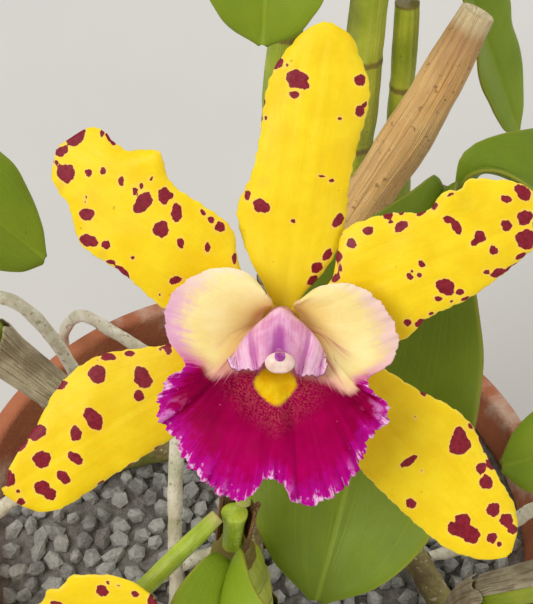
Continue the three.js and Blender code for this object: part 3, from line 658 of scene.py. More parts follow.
print("a grid of points:", tepal_grid("petal_left", TEPALS["petal_left"], [], 5, 3, 0)[0].shape)

# %% [markdown]
# ## The two blooms' places
#
# The open bloom faces up and forward. The other hangs lower on the left and looks out to the front. A
# bloom's pieces are shaped in the bloom's own frame, with x to its right, y up its face and z out of
# its face, and then carried to its place.

# %% Frames of the blooms


def bloom_frame(centre, right, up):
    right, up = unit(np.array(right, float)), np.array(up, float)
    out = unit(np.cross(right, up))
    return {"centre": np.array(centre, float), "axes": np.stack([right, np.cross(out, right), out])}


def turned_about(vector, axis, degrees):
    return np.array(Matrix.Rotation(math.radians(degrees), 3, Vector(axis)) @ Vector(vector))


SECOND_OUT = unit(np.array([-0.2, -0.93, 0.3]))
second_right = turned_about(unit(np.array([0.978, -0.21, 0])), SECOND_OUT, 17)
BLOOMS = {
    "bloom_1": bloom_frame((5, -40.9, 240.6), (1, 0, 0), (0, 0.643, 0.766)),
    "bloom_2": bloom_frame((-61, -85, 180), second_right, np.cross(SECOND_OUT, second_right)),
}
DETAIL = {"bloom_1": 1.0, "bloom_2": 0.6}


def carried(bloom, points):
    return points @ BLOOMS[bloom]["axes"] + BLOOMS[bloom]["centre"]


for bloom in BLOOMS:
    for k, (name, tepal) in enumerate(TEPALS.items()):
        spots = SPOTS[name] if bloom == "bloom_1" else drawn_spots(tepal, 40 + k)
        rows, columns = int(125 * DETAIL[bloom]), int(55 * DETAIL[bloom])
        grid, thickness, marks = tepal_grid(name, tepal, spots, rows, columns,
                                            10 * k + len(bloom) + ord(bloom[-1]))
        mesh = skin_mesh(name, carried(bloom, grid), thickness, marks)
        add_piece(f"{bloom}_{name}_skin", mesh, spotted_yellow, "tepal", f"{bloom}_{name}")

# %% [markdown]
# ## The lip
#
# The lip is one petal grown into a trumpet. Two cream ears rise beside the column, and a broad magenta
# lobe spreads below it with a frilled edge. On the real flower it is one skin, so it is one sheet here.
# Each bearing round the throat has a curve of four points: the claw under the column, the throat, the
# crest and the rim.

# %% Shape of the lip
LIP_HALF = 0.34
LIP_CENTRE = (-0.5, -8.5)
RIM_REACH = [(-172, 12.2), (-166, 18), (-158, 21), (-148, 23), (-138, 24), (-127, 24.5), (-116, 23.2),
             (-107, 20.5), (-101, 17), (-94, 19.6), (-83, 21.7), (-70, 22.2), (-63, 20.9), (-54, 21.5),
             (-39, 21.7), (-25, 22.1), (-15, 21), (-10, 17), (-3, 15.9), (3, 17.6), (10, 21.7),
             (21, 22.3), (34, 21.6), (49, 19.9), (60, 19), (70, 20.4), (78, 20), (84, 17.5), (90, 15.8),
             (94, 18.5), (99, 21.5), (108, 23.1), (128, 22.8), (141, 21.4), (150, 19.2), (157, 17),
             (164, 13.2), (168, 11)]
RIM_DEPTH = [(-172, 4.8), (-158, 5.6), (-138, 6), (-116, 6.6), (-108, 8), (-101, 13), (-94, 15),
             (-70, 15.3), (-54, 17), (-39, 18), (-15, 18.4), (-5, 20.6), (3, 20.2), (12, 18.3), (34, 18),
             (49, 17), (60, 16), (78, 15), (88, 14), (94, 10), (100, 7.5), (108, 6.6), (128, 6),
             (150, 5.6), (168, 4.8)]


def four_point_curve(points, t):
    a, b, c, d = points
    run = [2 * a - b, a, b, c, d, 2 * d - c]
    total = 0.0
    for k in range(3):
        u = (t * 3 - k)[..., None]
        inside = (u >= 0) & ((u < 1) | (k == 2))
        total = total + np.where(inside, curve_between(*run[k:k + 4], u), 0)
    return total


LIP_SWEEP = (-167.5, 161)
BORDER_DIPS = [(1.4, -12, 2.4), (1.3, 12.2, 2.6)]
FOLDED_CRESTS = [(-76, 1.4), (71, 1.4)]


def lip_curves(bearing):
    turn = np.radians(bearing)
    sine, cosine = np.sin(turn), np.cos(turn)
    ear = ease(75, 110, np.abs(bearing))
    claw = np.stack([3.8 * np.sin(0.86 * turn), 0.3 - 3.8 * np.cos(0.86 * turn), 1 + 0 * turn], axis=-1)
    throat = np.stack([7.4 * sine, -0.6 - np.where(cosine < 0, 5.1, 7.2) * cosine,
                       mix(9.5 - 3 * sine ** 2, 4.1, ear)], axis=-1)
    reach = through(RIM_REACH, bearing)
    rim = np.stack([LIP_CENTRE[0] + reach * sine, LIP_CENTRE[1] - reach * cosine,
                    through(RIM_DEPTH, bearing)], axis=-1)
    crest = mix(throat, rim, 0.52)
    crest[..., 2] += mix(5.3 - 2.5 * sine ** 2, 1.4, ear)
    fold = np.exp(-((np.abs(bearing) - 98) / 24) ** 2)
    throat[..., 1] -= 1.6 * fold
    crest[..., 1] -= 3.4 * fold
    return claw, throat, crest, rim


print("the lip reaches out", max(reach for place, reach in RIM_REACH), "mm at its widest")

# %% [markdown]
# Where magenta turns to cream, and how far a point is from the yellow heart, are worked out on the lip
# before its frills are added, and are stored for the material.

# %% Border and heart of the lip


def border_height(bearing, t, x, y):
    inside = y + 8.2 + 0.11 * (x + 2)
    for dip, place, width in BORDER_DIPS:
        inside = inside + dip * np.exp(-((x - place) / width) ** 2)
    notch = np.where(bearing < 0, 101, 90)
    outside = (np.abs(bearing) - notch) * 0.35
    return mix(inside, outside, ease(0.62, 0.95, t))


def heart_distance(x, y):
    return (np.abs((x + 1.1) / 4.0) ** 1.5 + np.abs((y + 9.3) / 3.0) ** 1.5) ** (1 / 1.5)


print("the heart's edge lies at 1, this point at", round(float(heart_distance(2, -10)), 2))

# %% [markdown]
# The rim is frilled in three sizes of wave: broad folds that wander, a fine crimp and small nibbles.
# They die away towards the throat and on the upper edge of the ears.

# %% Grid of the lip


def lip_grid(rows, columns, seed):
    bearing = np.linspace(*LIP_SWEEP, columns)[None, :]
    t = np.linspace(0, 1, rows)[:, None]
    t = 1 - (1 - t) ** 1.15 + 0 * bearing
    bearing = bearing + 0 * t
    grid = four_point_curve(lip_curves(bearing), t)
    x, y = grid[..., 0].copy(), grid[..., 1].copy()
    ear = ease(88, 100, np.abs(bearing))
    outer_ear = ear * ease(165, 125, np.abs(bearing))
    wander = 0.5 + 0.5 * waves(bearing, 31, seed + 8)
    drift = bearing + 5 * (1 - t) * waves(bearing, 40, seed + 9)
    frill = mix(1.25 * wander, 0.5 * outer_ear, ear) * t ** 7
    crimp = mix(0.5 * wander, 0.14 * outer_ear, ear) * t ** 14
    furrow = mix(0.06, 0.05, ear) * ease(0.3, 0.7, t) * ease(1.02, 0.85, t)
    lift = frill * waves(drift, 13, seed) + crimp * waves(drift, 4.8, seed + 1)
    lift = lift + furrow * waves(bearing, 15, seed + 2)
    for place, height in FOLDED_CRESTS:
        lift = lift + height * np.exp(-((drift - place) / 3.6) ** 2) * ease(0.45, 0.85, t)
    nibble = mix(0.3, 0.14 * outer_ear, ear) * t ** 14 * waves(bearing, 3.0, seed + 4, 4)
    nibble = nibble + mix(0.45, 0.2 * outer_ear, ear) * t ** 9 * waves(bearing, 10.0, seed + 6)
    turn = np.radians(bearing)
    grid[..., 0] += nibble * np.sin(turn)
    grid[..., 1] -= nibble * np.cos(turn)
    grid[..., 2] += lift
    thickness = mix(LIP_HALF, 0.14, t ** 5)
    marks = {"along": t, "bearing": bearing / 180, "cream": border_height(bearing, t, x, y),
             "heart": heart_distance(x, y), "down": -y, "relief": lift}
    return grid, thickness, marks


print("a grid of points:", lip_grid(4, 9, 1)[0].shape)

# %% [markdown]
# ## Colours of the lip
#
# The colour follows the flower's own plan. Past the two folds at the sides the skin turns from magenta
# to cream. Round the yellow heart the magenta is crimson and carries fine pale hairs, and both lobes
# pale towards the frill. Veins run out from the throat, so their pattern follows the bearing and not
# the surface's place.

# %% Material of the lip


def lip_recipe(surface, place):
    along = attribute(surface, "along")
    bearing = attribute(surface, "bearing")
    heart = attribute(surface, "heart")
    side = maths("ABSOLUTE", bearing)
    fans = veined(bearing, along, 90.0, 1.6)
    broad = veined(bearing, along, 22.0, 1.0)
    frayed = centred(noise(place, 700.0, 4.0), 0.24)
    lane = centred(fans, 0.06)
    hem = plus(plus(along, frayed), lane)

    magenta = mottled(place, 160.0, colour(166, 0, 78), colour(186, 0, 98))
    crimson = mottled(place, 200.0, colour(142, 0, 56), colour(162, 0, 70))
    low = plus(attribute(surface, "down"), times(frayed, 14.0))
    magenta = tinted(between(low, 27.0, 12.0), magenta, crimson)
    magenta = tint(magenta, times(broad, 0.22), 112, 0, 40)
    shoulders = times(between(side, 0.2, 0.4), between(hem, 0.86, 0.6))
    magenta = tint(magenta, times(shoulders, 0.8), 112, 0, 44)
    magenta = tint(magenta, times(fans, 0.08), 200, 0, 130)
    magenta = tint(magenta, between(hem, 0.78, 0.97, 0.0, 0.8), 184, 14, 150)
    # Pale pink on the tops of the frill's folds is a painted highlight.
    painted_crest_highlight = times(between(attribute(surface, "relief"), 0.1, 1.0), between(hem, 0.7, 0.95))
    ragged = between(noise(place, 420.0, 4.0), 0.44, 0.62)
    painted_crest_highlight = times(painted_crest_highlight, ragged)
    magenta = tint(magenta, times(painted_crest_highlight, 0.75), 222, 140, 210)
    torn = plus(plus(along, times(frayed, 1.3)), lane)
    magenta = tint(magenta, between(torn, 0.955, 1.03, 0.0, 0.95), 240, 188, 224)

    cream = mottled(place, 110.0, colour(240, 216, 136), colour(248, 230, 164))
    # Towards the throat the ears turn a darker yellow: painted shade deep in the recess.
    cream = tint(cream, between(along, 0.6, 0.3, 0.0, 0.45), 240, 208, 104)
    cream = tint(cream, times(fans, 0.12), 226, 200, 124)
    cream = tint(cream, between(hem, 0.8, 0.98, 0.0, 0.7), 248, 228, 204)
    outer = between(side, 0.84, 0.66)
    blushing = times(outer, between(bearing, 0.2, -0.2, 0.5, 0.95))
    cream = tint(cream, times(between(hem, 0.72, 0.95), blushing), 222, 166, 196)
    near = times(between(along, 0.66, 0.44), between(side, 0.66, 0.54))
    streaks = times(near, between(broad, 0.1, 0.75, 0.3, 1.0))
    cream = tint(cream, times(streaks, 0.7), 196, 84, 110)

    border = plus(attribute(surface, "cream"), plus(times(frayed, 3.0), centred(fans, 0.9)))
    blush = times(between(border, 3.4, 0.0), between(fans, 0.0, 0.9, 0.45, 0.95))
    cream = tint(cream, blush, 214, 104, 152)
    skin = tinted(between(border, -0.7, 1.0), magenta, cream)

    heart = plus(heart, frayed)
    hairs = between(noise(place, 2600.0, 3.0), 0.42, 0.62)
    lower = between(side, 0.58, 0.46)
    dusted = times(times(between(heart, 2.9, 1.0), hairs), lower)
    skin = tint(skin, times(dusted, 0.55), 206, 92, 92)
    flecks = times(between(noise(place, 1150.0, 1.0), 0.78, 0.8, 0.0, 0.5), lower)
    skin = tint(skin, flecks, 240, 190, 215)
    gold = times(between(heart, 1.1, 0.86), lower)
    skin = tinted(gold, skin, mottled(place, 420.0, colour(252, 196, 16), colour(255, 222, 34)))
    back = between(attribute(surface, "front"), 0.6, 0.2, 0.0, 0.45)
    skin = tint(skin, back, 226, 160, 190)
    height = plus(grained(place, 3800.0), times(fans, -0.4))
    return skin, height, 0.00006, 0.45, between(noise(place, 300.0), 0.3, 0.7, 0.42, 0.58)


velvety_lip = new_material("velvety lip", lip_recipe, roughness=0.6, subsurface=0.05,
                           radius=(1.0, 0.1, 0.4), reach=0.0008, specular=0.02)
for bloom in BLOOMS:
    rows, columns = int(64 * DETAIL[bloom]), int(430 * DETAIL[bloom])
    grid, thickness, marks = lip_grid(rows, columns, 70 + ord(bloom[-1]))
    mesh = skin_mesh(f"{bloom}_lip_skin", carried(bloom, grid), thickness, marks, -1)
    add_piece(f"{bloom}_lip_skin", mesh, velvety_lip, "lip", f"{bloom}_lip")

# %% [markdown]
# ## Closed tubes
#
# Columns, stalks and canes are round in section. A stack of rings gives such a form, and rings that
# shrink to a point close its ends. The helper below joins any stack of equal rings.

# %% Join rings into a closed form


def ring_walls(count, sides):
    i, j = np.meshgrid(np.arange(count - 1), np.arange(sides), indexing="ij")
    after = (j + 1) % sides
    corners = [i * sides + j, i * sides + after, (i + 1) * sides + after, (i + 1) * sides + j]
    return np.stack(corners, axis=-1).reshape(-1, 4).tolist()


def ring_mesh(name, rings, attributes=None, uv=True):
    count, sides = rings.shape[:2]
    points = np.concatenate([rings.reshape(-1, 3), rings[:1].mean(axis=1), rings[-1:].mean(axis=1)])
    faces = ring_walls(count, sides)
    first, last = count * sides, count * sides + 1
    for j in range(sides):
        after = (j + 1) % sides
        faces.append([first, after, j])
        faces.append([last, (count - 1) * sides + j, (count - 1) * sides + after])
    stored = {}
    for key, value in (attributes or {}).items():
        value = np.broadcast_to(value, (count, sides))
        stored[key] = np.concatenate([value.ravel(), [value[0].mean()], [value[-1].mean()]])
    u, v = np.meshgrid(np.linspace(0, 1, sides), np.linspace(0, 1, count))
    ends = [[0.5, 0.0], [0.5, 1.0]]
    flat = np.concatenate([np.stack([u.ravel(), v.ravel()], axis=1), ends]) if uv else None
    return new_mesh(name, points, faces, stored, flat)


def path_frames(path):
    tangent = unit(np.gradient(path, axis=0))
    start = np.array([1.0, 0, 0]) if abs(tangent[0][0]) < 0.8 else np.array([0, 1.0, 0])
    side = unit(start - tangent[0] * (start @ tangent[0]))
    sides = [side]
    for t in tangent[1:]:
        side = unit(side - t * (side @ t))
        sides.append(side)
    side = np.array(sides)
    return side, np.cross(tangent, side)


def tube_rings(path, radius):
    side, up = path_frames(path)
    sides = radius.shape[1]
    turn = full_turn(sides)
    spoke = side[:, None] * np.cos(turn)[None, :, None] + up[:, None] * np.sin(turn)[None, :, None]
    return path[:, None] + spoke * radius[..., None]


print("a tube of rings:", tube_rings(smooth_path([(0, 0, 0), (0, 0, 9)], 4), np.ones((4, 6))).shape)

# %% [markdown]
# ## The column and its anther cap
#
# In an orchid the stamen and pistil are one column. Here it spreads into a pink hood with two scalloped
# wings and an arch between them, where the white anther cap sits. The hood is a curved sheet that grows
# from a round foot: each bearing round the column has its own path from the foot to the front edge. The
# front edge is a list of points from the middle of the arch out to the tip of the wing.

# %% Shape of the column
COLUMN_HALF = 0.55
HOOD_EDGE = [(0, (0, -2.9, 18.2)), (14, (1.7, -3.2, 18.4)), (27, (2.7, -4.1, 18.3)),
             (40, (3.2, -5.2, 18.0)), (52, (4.2, -5.9, 17.4)), (64, (5.6, -5.9, 16.7)),
             (76, (7.0, -6.2, 15.9)), (88, (8.3, -5.8, 15.0)), (100, (8.9, -4.6, 14.0))]
HOOD_SHOULDER = [(0, (0, 3.6, 9.6)), (14, (1.5, 2.7, 9.9)), (27, (2.9, 1.5, 10.3)),
                 (40, (4.3, 0.5, 10.7)), (52, (5.5, -0.6, 11.0)), (64, (6.5, -1.7, 11.0)),
                 (76, (7.2, -2.8, 10.7)), (88, (7.5, -3.7, 10.2)), (100, (7.3, -4.3, 9.6))]
HOOD_LEAN = (-0.7, -0.55)
HOOD_FOLDS = 11


def through_points(stops, at):
    axes = [through([(place, point[k]) for place, point in stops], at) for k in range(3)]
    return np.stack(axes, axis=-1)


def hood_grid(rows, columns):
    turn = np.linspace(-100, 100, columns)[None, :]
    v = np.linspace(0, 1, rows)[:, None]
    side = np.sign(turn)
    edge = through_points(HOOD_EDGE, np.abs(turn))
    edge[..., 0] = side * edge[..., 0] + HOOD_LEAN[0]
    edge[..., 1] += HOOD_LEAN[1] * side * ease(15, 60, np.abs(turn))
    shoulder = through_points(HOOD_SHOULDER, np.abs(turn))
    shoulder[..., 0] = side * shoulder[..., 0] + HOOD_LEAN[0] * 0.4
    wrap = np.radians(turn * 1.65)
    foot = np.stack([2.5 * np.sin(wrap), 0.2 + 2.4 * np.cos(wrap), 0.3 + 0 * wrap], axis=-1)
    waist = np.stack([2.1 * np.sin(wrap * 0.95), 0.6 + 2.2 * np.cos(wrap * 0.95), 4.5 + 0 * wrap], axis=-1)
    grid = four_point_curve([a + 0 * v[..., None] for a in (foot, waist, shoulder, edge)], v + 0 * turn)
    wing = ease(22, 45, np.abs(turn)) * ease(0.35, 0.9, v)
    pleat = 0.42 * wing * np.cos(np.radians((np.abs(turn) - 62) * HOOD_FOLDS)) + 0.1 * wing * waves(turn,
                                                                                                    14, 5, 2)
    groove = 0.6 * np.exp(-(turn / 9) ** 2) * ease(0.62, 0.95, v)
    knob = 0.5 * np.exp(-(turn / 26) ** 2 - ((v - 0.62) / 0.12) ** 2)
    scallop = 0.24 * ease(0.85, 1, v) * waves(turn, 12, 9, 2) * ease(30, 45, np.abs(turn))
    grid[..., 1] += 0.4 * pleat - groove - scallop + 0.5 * knob
    grid[..., 2] += 0.9 * pleat - 0.6 * groove + knob
    marks = {"along": v + 0 * turn, "across": turn / 100 + 0 * v, "relief": pleat + knob - groove}
    thickness = mix(COLUMN_HALF, 0.3, ease(0.6, 1, v)) + 0 * turn
    return grid, thickness, marks


def column_core(sides, count):
    t = np.linspace(0, 1, count)[:, None]
    turn = full_turn(sides)[None, :]
    half = through([(0, 2.2), (0.4, 2.3), (0.75, 2.3), (0.93, 1.9), (1, 1.0)], t)
    middle = through([(0, -0.2), (0.3, -0.4), (0.6, -2.0), (0.85, -3.6), (1, -3.8)], t)
    x = half * np.cos(turn) - 0.25 * t
    y = middle + 0.86 * half * np.sin(turn)
    rings = np.stack([x, y, 0.3 + 18.9 * t + 0 * turn], axis=-1)
    return rings, {"along": t + 0 * turn, "across": np.cos(turn) * 0.15 + 0 * t, "relief": 0 * t + 0 * turn}


print("a grid of points:", hood_grid(4, 9)[0].shape)

# %% [markdown]
# The hood is striped along its folds and finely veined. Purple in the furrows is painted shade and near-white
# on the ridges is painted highlight, a dark stripe down its middle is painted shade in the middle groove, and
# the dark red inside is partly its own colour and partly painted shade under the hood.

# %% Material of the column


def column_recipe(surface, place):
    along = attribute(surface, "along")
    across = attribute(surface, "across")
    veins = veined(across, along, 30.0, 2.0)
    broad = veined(across, along, 9.0, 1.2)
    skin = mottled(place, 380.0, colour(222, 142, 186), colour(242, 184, 212))
    skin = tint(skin, times(broad, 0.4), 196, 88, 162)
    relief = attribute(surface, "relief")
    # Read from the relief: furrows are tinted purple as painted shade and ridges near-white as painted
    # highlight.
    skin = tint(skin, between(relief, 0.0, -0.4, 0.0, 0.75), 178, 62, 152)
    skin = tint(skin, between(relief, 0.1, 0.45, 0.0, 0.5), 248, 206, 226)
    skin = tint(skin, times(veins, 0.22), 176, 60, 146)
    wing = between(maths("ABSOLUTE", across), 0.35, 0.85)
    skin = tint(skin, times(wing, between(veins, 0.6, 0.0, 0.0, 0.6)), 242, 208, 230)
    # A dark stripe down the middle of the hood's front: painted shade in the middle groove.
    middle = times(between(maths("ABSOLUTE", across), 0.3, 0.02), between(along, 0.7, 0.97))
    skin = tint(skin, times(middle, 0.85), 150, 34, 140)
    # The hood's underside is tinted dark red, partly its own colour and partly painted shade under the hood.
    under = between(attribute(surface, "front"), 0.6, 0.2, 0.0, 0.7)
    skin = tint(skin, under, 150, 20, 90)
    height = plus(grained(place, 3600.0), times(veins, -0.6))
    return skin, height, 0.00008, 0.6, between(veins, 0.0, 1.0, 0.34, 0.46)


def joined_mesh(name, meshes):
    holders = [linked(mesh.name, mesh) for mesh in meshes]
    with bpy.context.temp_override(active_object=holders[0], selected_editable_objects=holders,
                                   selected_objects=holders, object=holders[0]):
        bpy.ops.object.join()
    result = holders[0].data.copy()
    bpy.data.objects.remove(holders[0])
    result.name = name
    return result


striated_pink = new_material("striated pink hood", column_recipe, roughness=0.36, subsurface=0.15,
                             reach=0.001)
for bloom in BLOOMS:
    grid, thickness, marks = hood_grid(int(60 * DETAIL[bloom]), int(110 * DETAIL[bloom]))
    hood = skin_mesh("hood", carried(bloom, grid), thickness, marks, -1)
    rings, ring_marks = column_core(int(40 * DETAIL[bloom]), int(30 * DETAIL[bloom]))
    core = ring_mesh("core", carried(bloom, rings), {**ring_marks, "front": 0.45})
    mesh = joined_mesh(f"{bloom}_hood", [hood, core])
    add_piece(f"{bloom}_hood", mesh, striated_pink, "column", f"{bloom}_column")

# %% [markdown]
# The anther cap is a white two-lobed button in the arch, with a drop of purple where the hood's middle
# meets it. A sphere is a fair start: the furrow between its lobes is pressed in by a formula.

# %% Anther cap
CAP_PLACE = (-0.35, -3.4, 20.6)


def cap_recipe(surface, place):
    skin = mottled(place, 500.0, colour(228, 192, 176), colour(244, 220, 206))
    skin = tinted(between(attribute(surface, "drop"), 0.45, 0.55), skin,
                  mottled(place, 900.0, colour(128, 14, 116), colour(190, 84, 178)))
    return skin, grained(place, 3000.0), 0.00004, 0.4


def cap_rings(sides, count):
    turn = full_turn(sides)[None, :]
    tilt = np.linspace(0.02, np.pi - 0.02, count)[:, None]
    x = np.sin(tilt) * np.cos(turn)
    y = np.sin(tilt) * np.sin(turn)
    z = np.cos(tilt) + 0 * turn
    furrow = 1 - 0.05 * np.exp(-(x / 0.22) ** 2) * ease(0.5, -0.4, y)
    drop = ease(0.36, 0.2, np.hypot(x * 0.78, (y - 0.74) * 0.62)) * (z > 0)
    rings = np.stack([2.65 * x, 1.95 * y * furrow, (1.35 * z + 0.35 * drop) * furrow], axis=-1)
    return rings + CAP_PLACE, {"drop": drop}


waxy_white = new_material("waxy white cap", cap_recipe, roughness=0.3, subsurface=0.25, reach=0.0012)
for bloom in BLOOMS:
    rings, marks = cap_rings(int(56 * DETAIL[bloom]), int(36 * DETAIL[bloom]))
    mesh = ring_mesh("cap", carried(bloom, rings), marks)
    add_piece(f"{bloom}_cap", mesh, waxy_white, "anther_cap", f"{bloom}_anther_cap")

# %% [markdown]
# ## Growths
#
# A cattleya creeps. Its rhizome lies on the stones, and every year it raises one jointed stem, the
# pseudobulb, with a leaf or two on top. The feet, bends and tops below are the same as in the solids,
# in millimetres.

# %% Feet, bends and tops of the growths
MIX_EDGE, MIX_CROWN, MIX_RADIUS = 100, 4, 72.39
TOUCH_GAP = 0.3
KNUCKLE_RISE = 9
RHIZOME_RADIUS = 4

GROWTHS = {
    "old_cane": {"foot": (-4, 27)},
    "flowering": {"foot": (0, -44), "bend": (-2, -50, 150), "top": (-4.5, -61, 191), "radius": 6.4,
                  "top_radius": 5},
    "right": {"foot": (32, 8), "bend": (36, 11, 165), "top": (43, 18, 213), "radius": 6, "top_radius": 4.6},
    "back": {"foot": (4, 58), "bend": (5, 70, 175), "top": (9, 82, 235), "radius": 4.6, "top_radius": 4.3},
    "back_right": {"foot": (23, 51), "bend": (24, 59, 175), "top": (27, 67, 240), "radius": 5,
                   "top_radius": 4.4},
    "slim": {"foot": (41, 44), "bend": (37, 60, 165), "top": (36, 70, 226), "radius": 3.4, "top_radius": 3.2},
    "left": {"foot": (-48, 18), "bend": (-70, 21, 162), "top": (-98, 26, 219), "radius": 5.6,
             "top_radius": 4.6},
    "far_right": {"foot": (52, -34), "bend": (72, -38, 143), "top": (104, -42, 185), "radius": 5.2,
                  "top_radius": 4.4},
}
BULBS = {name: growth for name, growth in GROWTHS.items() if "top" in growth}
CREEPING = [("old_cane", "right"), ("right", "far_right"), ("old_cane", "left"),
            ("old_cane", "flowering"), ("old_cane", "back"), ("back", "back_right"),
            ("back_right", "slim")]


def mix_height(x, y):
    return MIX_EDGE + MIX_CROWN * (1 - (x * x + y * y) / MIX_RADIUS ** 2)


def foot_of(name):
    x, y = GROWTHS[name]["foot"]
    return np.array([x, y, mix_height(x, y) + TOUCH_GAP + KNUCKLE_RISE])


def bulb_path(name, count):
    growth = GROWTHS[name]
    foot = foot_of(name) + (0, 0, TOUCH_GAP)
    rise = growth["top"][2] - foot[2]
    return smooth_path([foot, foot + (0, 0, 0.18 * rise), growth["bend"], growth["top"]], count)


print("stems stand at these heights, in mm:", {name: round(foot_of(name)[2], 1) for name in BULBS})

# %% [markdown]
# ## Stems by geometry nodes
#
# Pseudobulbs and roots all follow a path and have a changing thickness, shallow ribs and small lumps.
# One tree of geometry nodes makes them all. The path comes in as a line of points that carry their own
# radius, and the tree turns it into a curve, sweeps a circle along it, and pushes the skin in and out
# along its normals.

# %% Geometry nodes tree: a stem on a path


GEOMETRY, WHOLE, SURFACE = "NodeSocketGeometry", "NodeSocketInt", "NodeSocketMaterial"
SHAPE = [("Geometry", GEOMETRY)]


def stored(tree, geometry, name, value):
    made = node(tree, "GeometryNodeStoreNamedAttribute", {"data_type": "FLOAT", "domain": "POINT"},
                Geometry=geometry, Name=name, Value=value)
    return made.outputs[0]


def named(tree, name):
    return node(tree, "GeometryNodeInputNamedAttribute", {"data_type": "FLOAT"}, Name=name).outputs[0]


def pushed_out(geometry, distance):
    tree = geometry.id_data
    outward = node(tree, "GeometryNodeInputNormal").outputs[0]
    push = node(tree, "ShaderNodeVectorMath", {"operation": "SCALE"}, Vector=outward, Scale=distance)
    return node(tree, "GeometryNodeSetPosition", Geometry=geometry, Offset=push.outputs[0]).outputs[0]


def end_tree(geometry, given, result):
    tree = geometry.id_data
    real = node(tree, "GeometryNodeRealizeInstances", Geometry=geometry).outputs[0]
    plug(node(tree, "GeometryNodeSetMaterial", Geometry=real, Material=given["Material"]).outputs[0],
         result["Geometry"])


stem_tree, given, result = new_tree("GeometryNodeTree", "Stem on a path", SHAPE + [
    ("Sides", WHOLE), ("Ribs", FLOAT), ("Rib depth", FLOAT), ("Lump size", FLOAT), ("Lump depth", FLOAT),
    ("Material", SURFACE)], SHAPE)
line = node(stem_tree, "GeometryNodeMeshToCurve", Mesh=given["Geometry"]).outputs[0]
along = node(stem_tree, "GeometryNodeSplineParameter").outputs["Factor"]
line = stored(stem_tree, line, "along", along)
ring = node(stem_tree, "GeometryNodeCurvePrimitiveCircle", Resolution=given["Sides"], Radius=1.0).outputs[0]
ring = stored(stem_tree, ring, "around", node(stem_tree, "GeometryNodeSplineParameter").outputs["Factor"])
skin = node(stem_tree, "GeometryNodeCurveToMesh", Curve=line, Profile_Curve=ring,
            Scale=named(stem_tree, "radius"), Fill_Caps=True).outputs[0]
turn = times(times(named(stem_tree, "around"), given["Ribs"]), 2 * math.pi)
ribs = times(maths("SINE", turn), given["Rib depth"])
lump = node(stem_tree, "ShaderNodeTexNoise", Scale=given["Lump size"], Detail=2.0).outputs[0]
lump = times(maths("SUBTRACT", lump, 0.5), given["Lump depth"])
end_tree(pushed_out(skin, plus(ribs, lump)), given, result)


# %% [markdown]
# A tree runs on a holder, an object that is thrown away once the finished mesh has been copied from it. The
# tree's inputs are set by their identifiers before it is first evaluated.

# %% Run a tree on a mesh


def run_tree(name, mesh, tree, settings):
    holder = linked(name, mesh)
    modifier = holder.modifiers.new("nodes", "NODES")
    modifier.node_group = tree
    sockets = {item.name: item.identifier for item in tree.interface.items_tree if item.in_out == "INPUT"}
    for key, value in settings.items():
        modifier[sockets[key]] = value
    holder.update_tag()
    made = baked(holder)
    made.name = name
    return turned_outward(made)


def stem_by_nodes(name, path, radius, material, sides=24, ribs=0, rib_depth=0.0, lump=200.0, lump_depth=0.0):
    line_mesh = bpy.data.meshes.new(name + "_line")
    line_mesh.from_pydata((path * MM).tolist(), [(k, k + 1) for k in range(len(path) - 1)], [])
    layer = line_mesh.attributes.new("radius", "FLOAT", "POINT")
    layer.data.foreach_set("value", np.asarray(radius * MM, np.float32))
    return run_tree(name, line_mesh, stem_tree, {
        "Sides": sides, "Ribs": float(ribs), "Rib depth": rib_depth * MM, "Lump size": lump,
        "Lump depth": lump_depth * MM, "Material": material})


print("inputs of a stem:", [item.name for item in stem_tree.interface.items_tree if item.in_out == "INPUT"])

# %% [markdown]
# ## Pseudobulbs
#
# A pseudobulb is a green cane of five joints, slimmer at its foot. Each joint has a ring scar where a bract
# sat. It is ribbed, because it shrinks a little as it gives its water to the leaves.

# %% Material and pieces of the pseudobulbs
JOINTS = 5
BULB_STEPS = 180


def swelling(growth, t):
    stops = [(0, 0.55), (0.12, 0.66), (0.4, 0.9), (0.7, 1), (0.9, 0.9)]
    return growth["radius"] * through(stops + [(1, growth["top_radius"] / growth["radius"])], t)


def bulb_recipe(surface, place):
    along = attribute(surface, "along")
    around = attribute(surface, "around")
    skin = mottled(place, 60.0, colour(142, 160, 24), colour(190, 198, 62))
    streaks = veined(around, along, 40.0, 5.0)
    skin = tint(skin, times(streaks, 0.35), 190, 190, 90)
    speck = between(noise(place, 900.0, 2.0), 0.68, 0.74, 0.0, 0.6)
    skin = tint(skin, speck, 92, 84, 36)
    joint = maths("PINGPONG", times(along, JOINTS), 0.5)
    scar = between(joint, 0.05, 0.015)
    skin = tint(skin, times(scar, 0.8), 120, 92, 48)
    base = between(plus(along, times(noise(place, 90.0), 0.1)), 0.2, 0.08)
    skin = tint(skin, times(base, 0.6), 134, 112, 62)
    height = plus(grained(place, 1800.0), times(streaks, 0.8))
    return skin, maths("SUBTRACT", height, scar), 0.0002, 0.6


ribbed_green = new_material("ribbed green cane", bulb_recipe, roughness=0.45, subsurface=0.08)
for name, growth in BULBS.items():
    t = np.linspace(0, 1, BULB_STEPS)
    radius = swelling(growth, t) * (1 - 0.07 * np.abs(np.cos(np.pi * JOINTS * t)) ** 6)
    radius = radius + 0.25 * np.abs(np.cos(np.pi * JOINTS * t)) ** 60 * (t > 0.1) * (t < 0.95)
    mesh = stem_by_nodes(f"cane_{name}", bulb_path(name, BULB_STEPS), radius, ribbed_green, sides=48, ribs=11,
                         rib_depth=0.14, lump=70.0, lump_depth=0.7)
    add_piece(f"cane_{name}", mesh, ribbed_green, "pseudobulb", f"pseudobulb_{name}")

# %% [markdown]
# The lower joints keep their bracts, which dry to a thin grey paper and split. Each bract is a torn
# sleeve that follows the cane a little outside it.

# %% Papery bracts


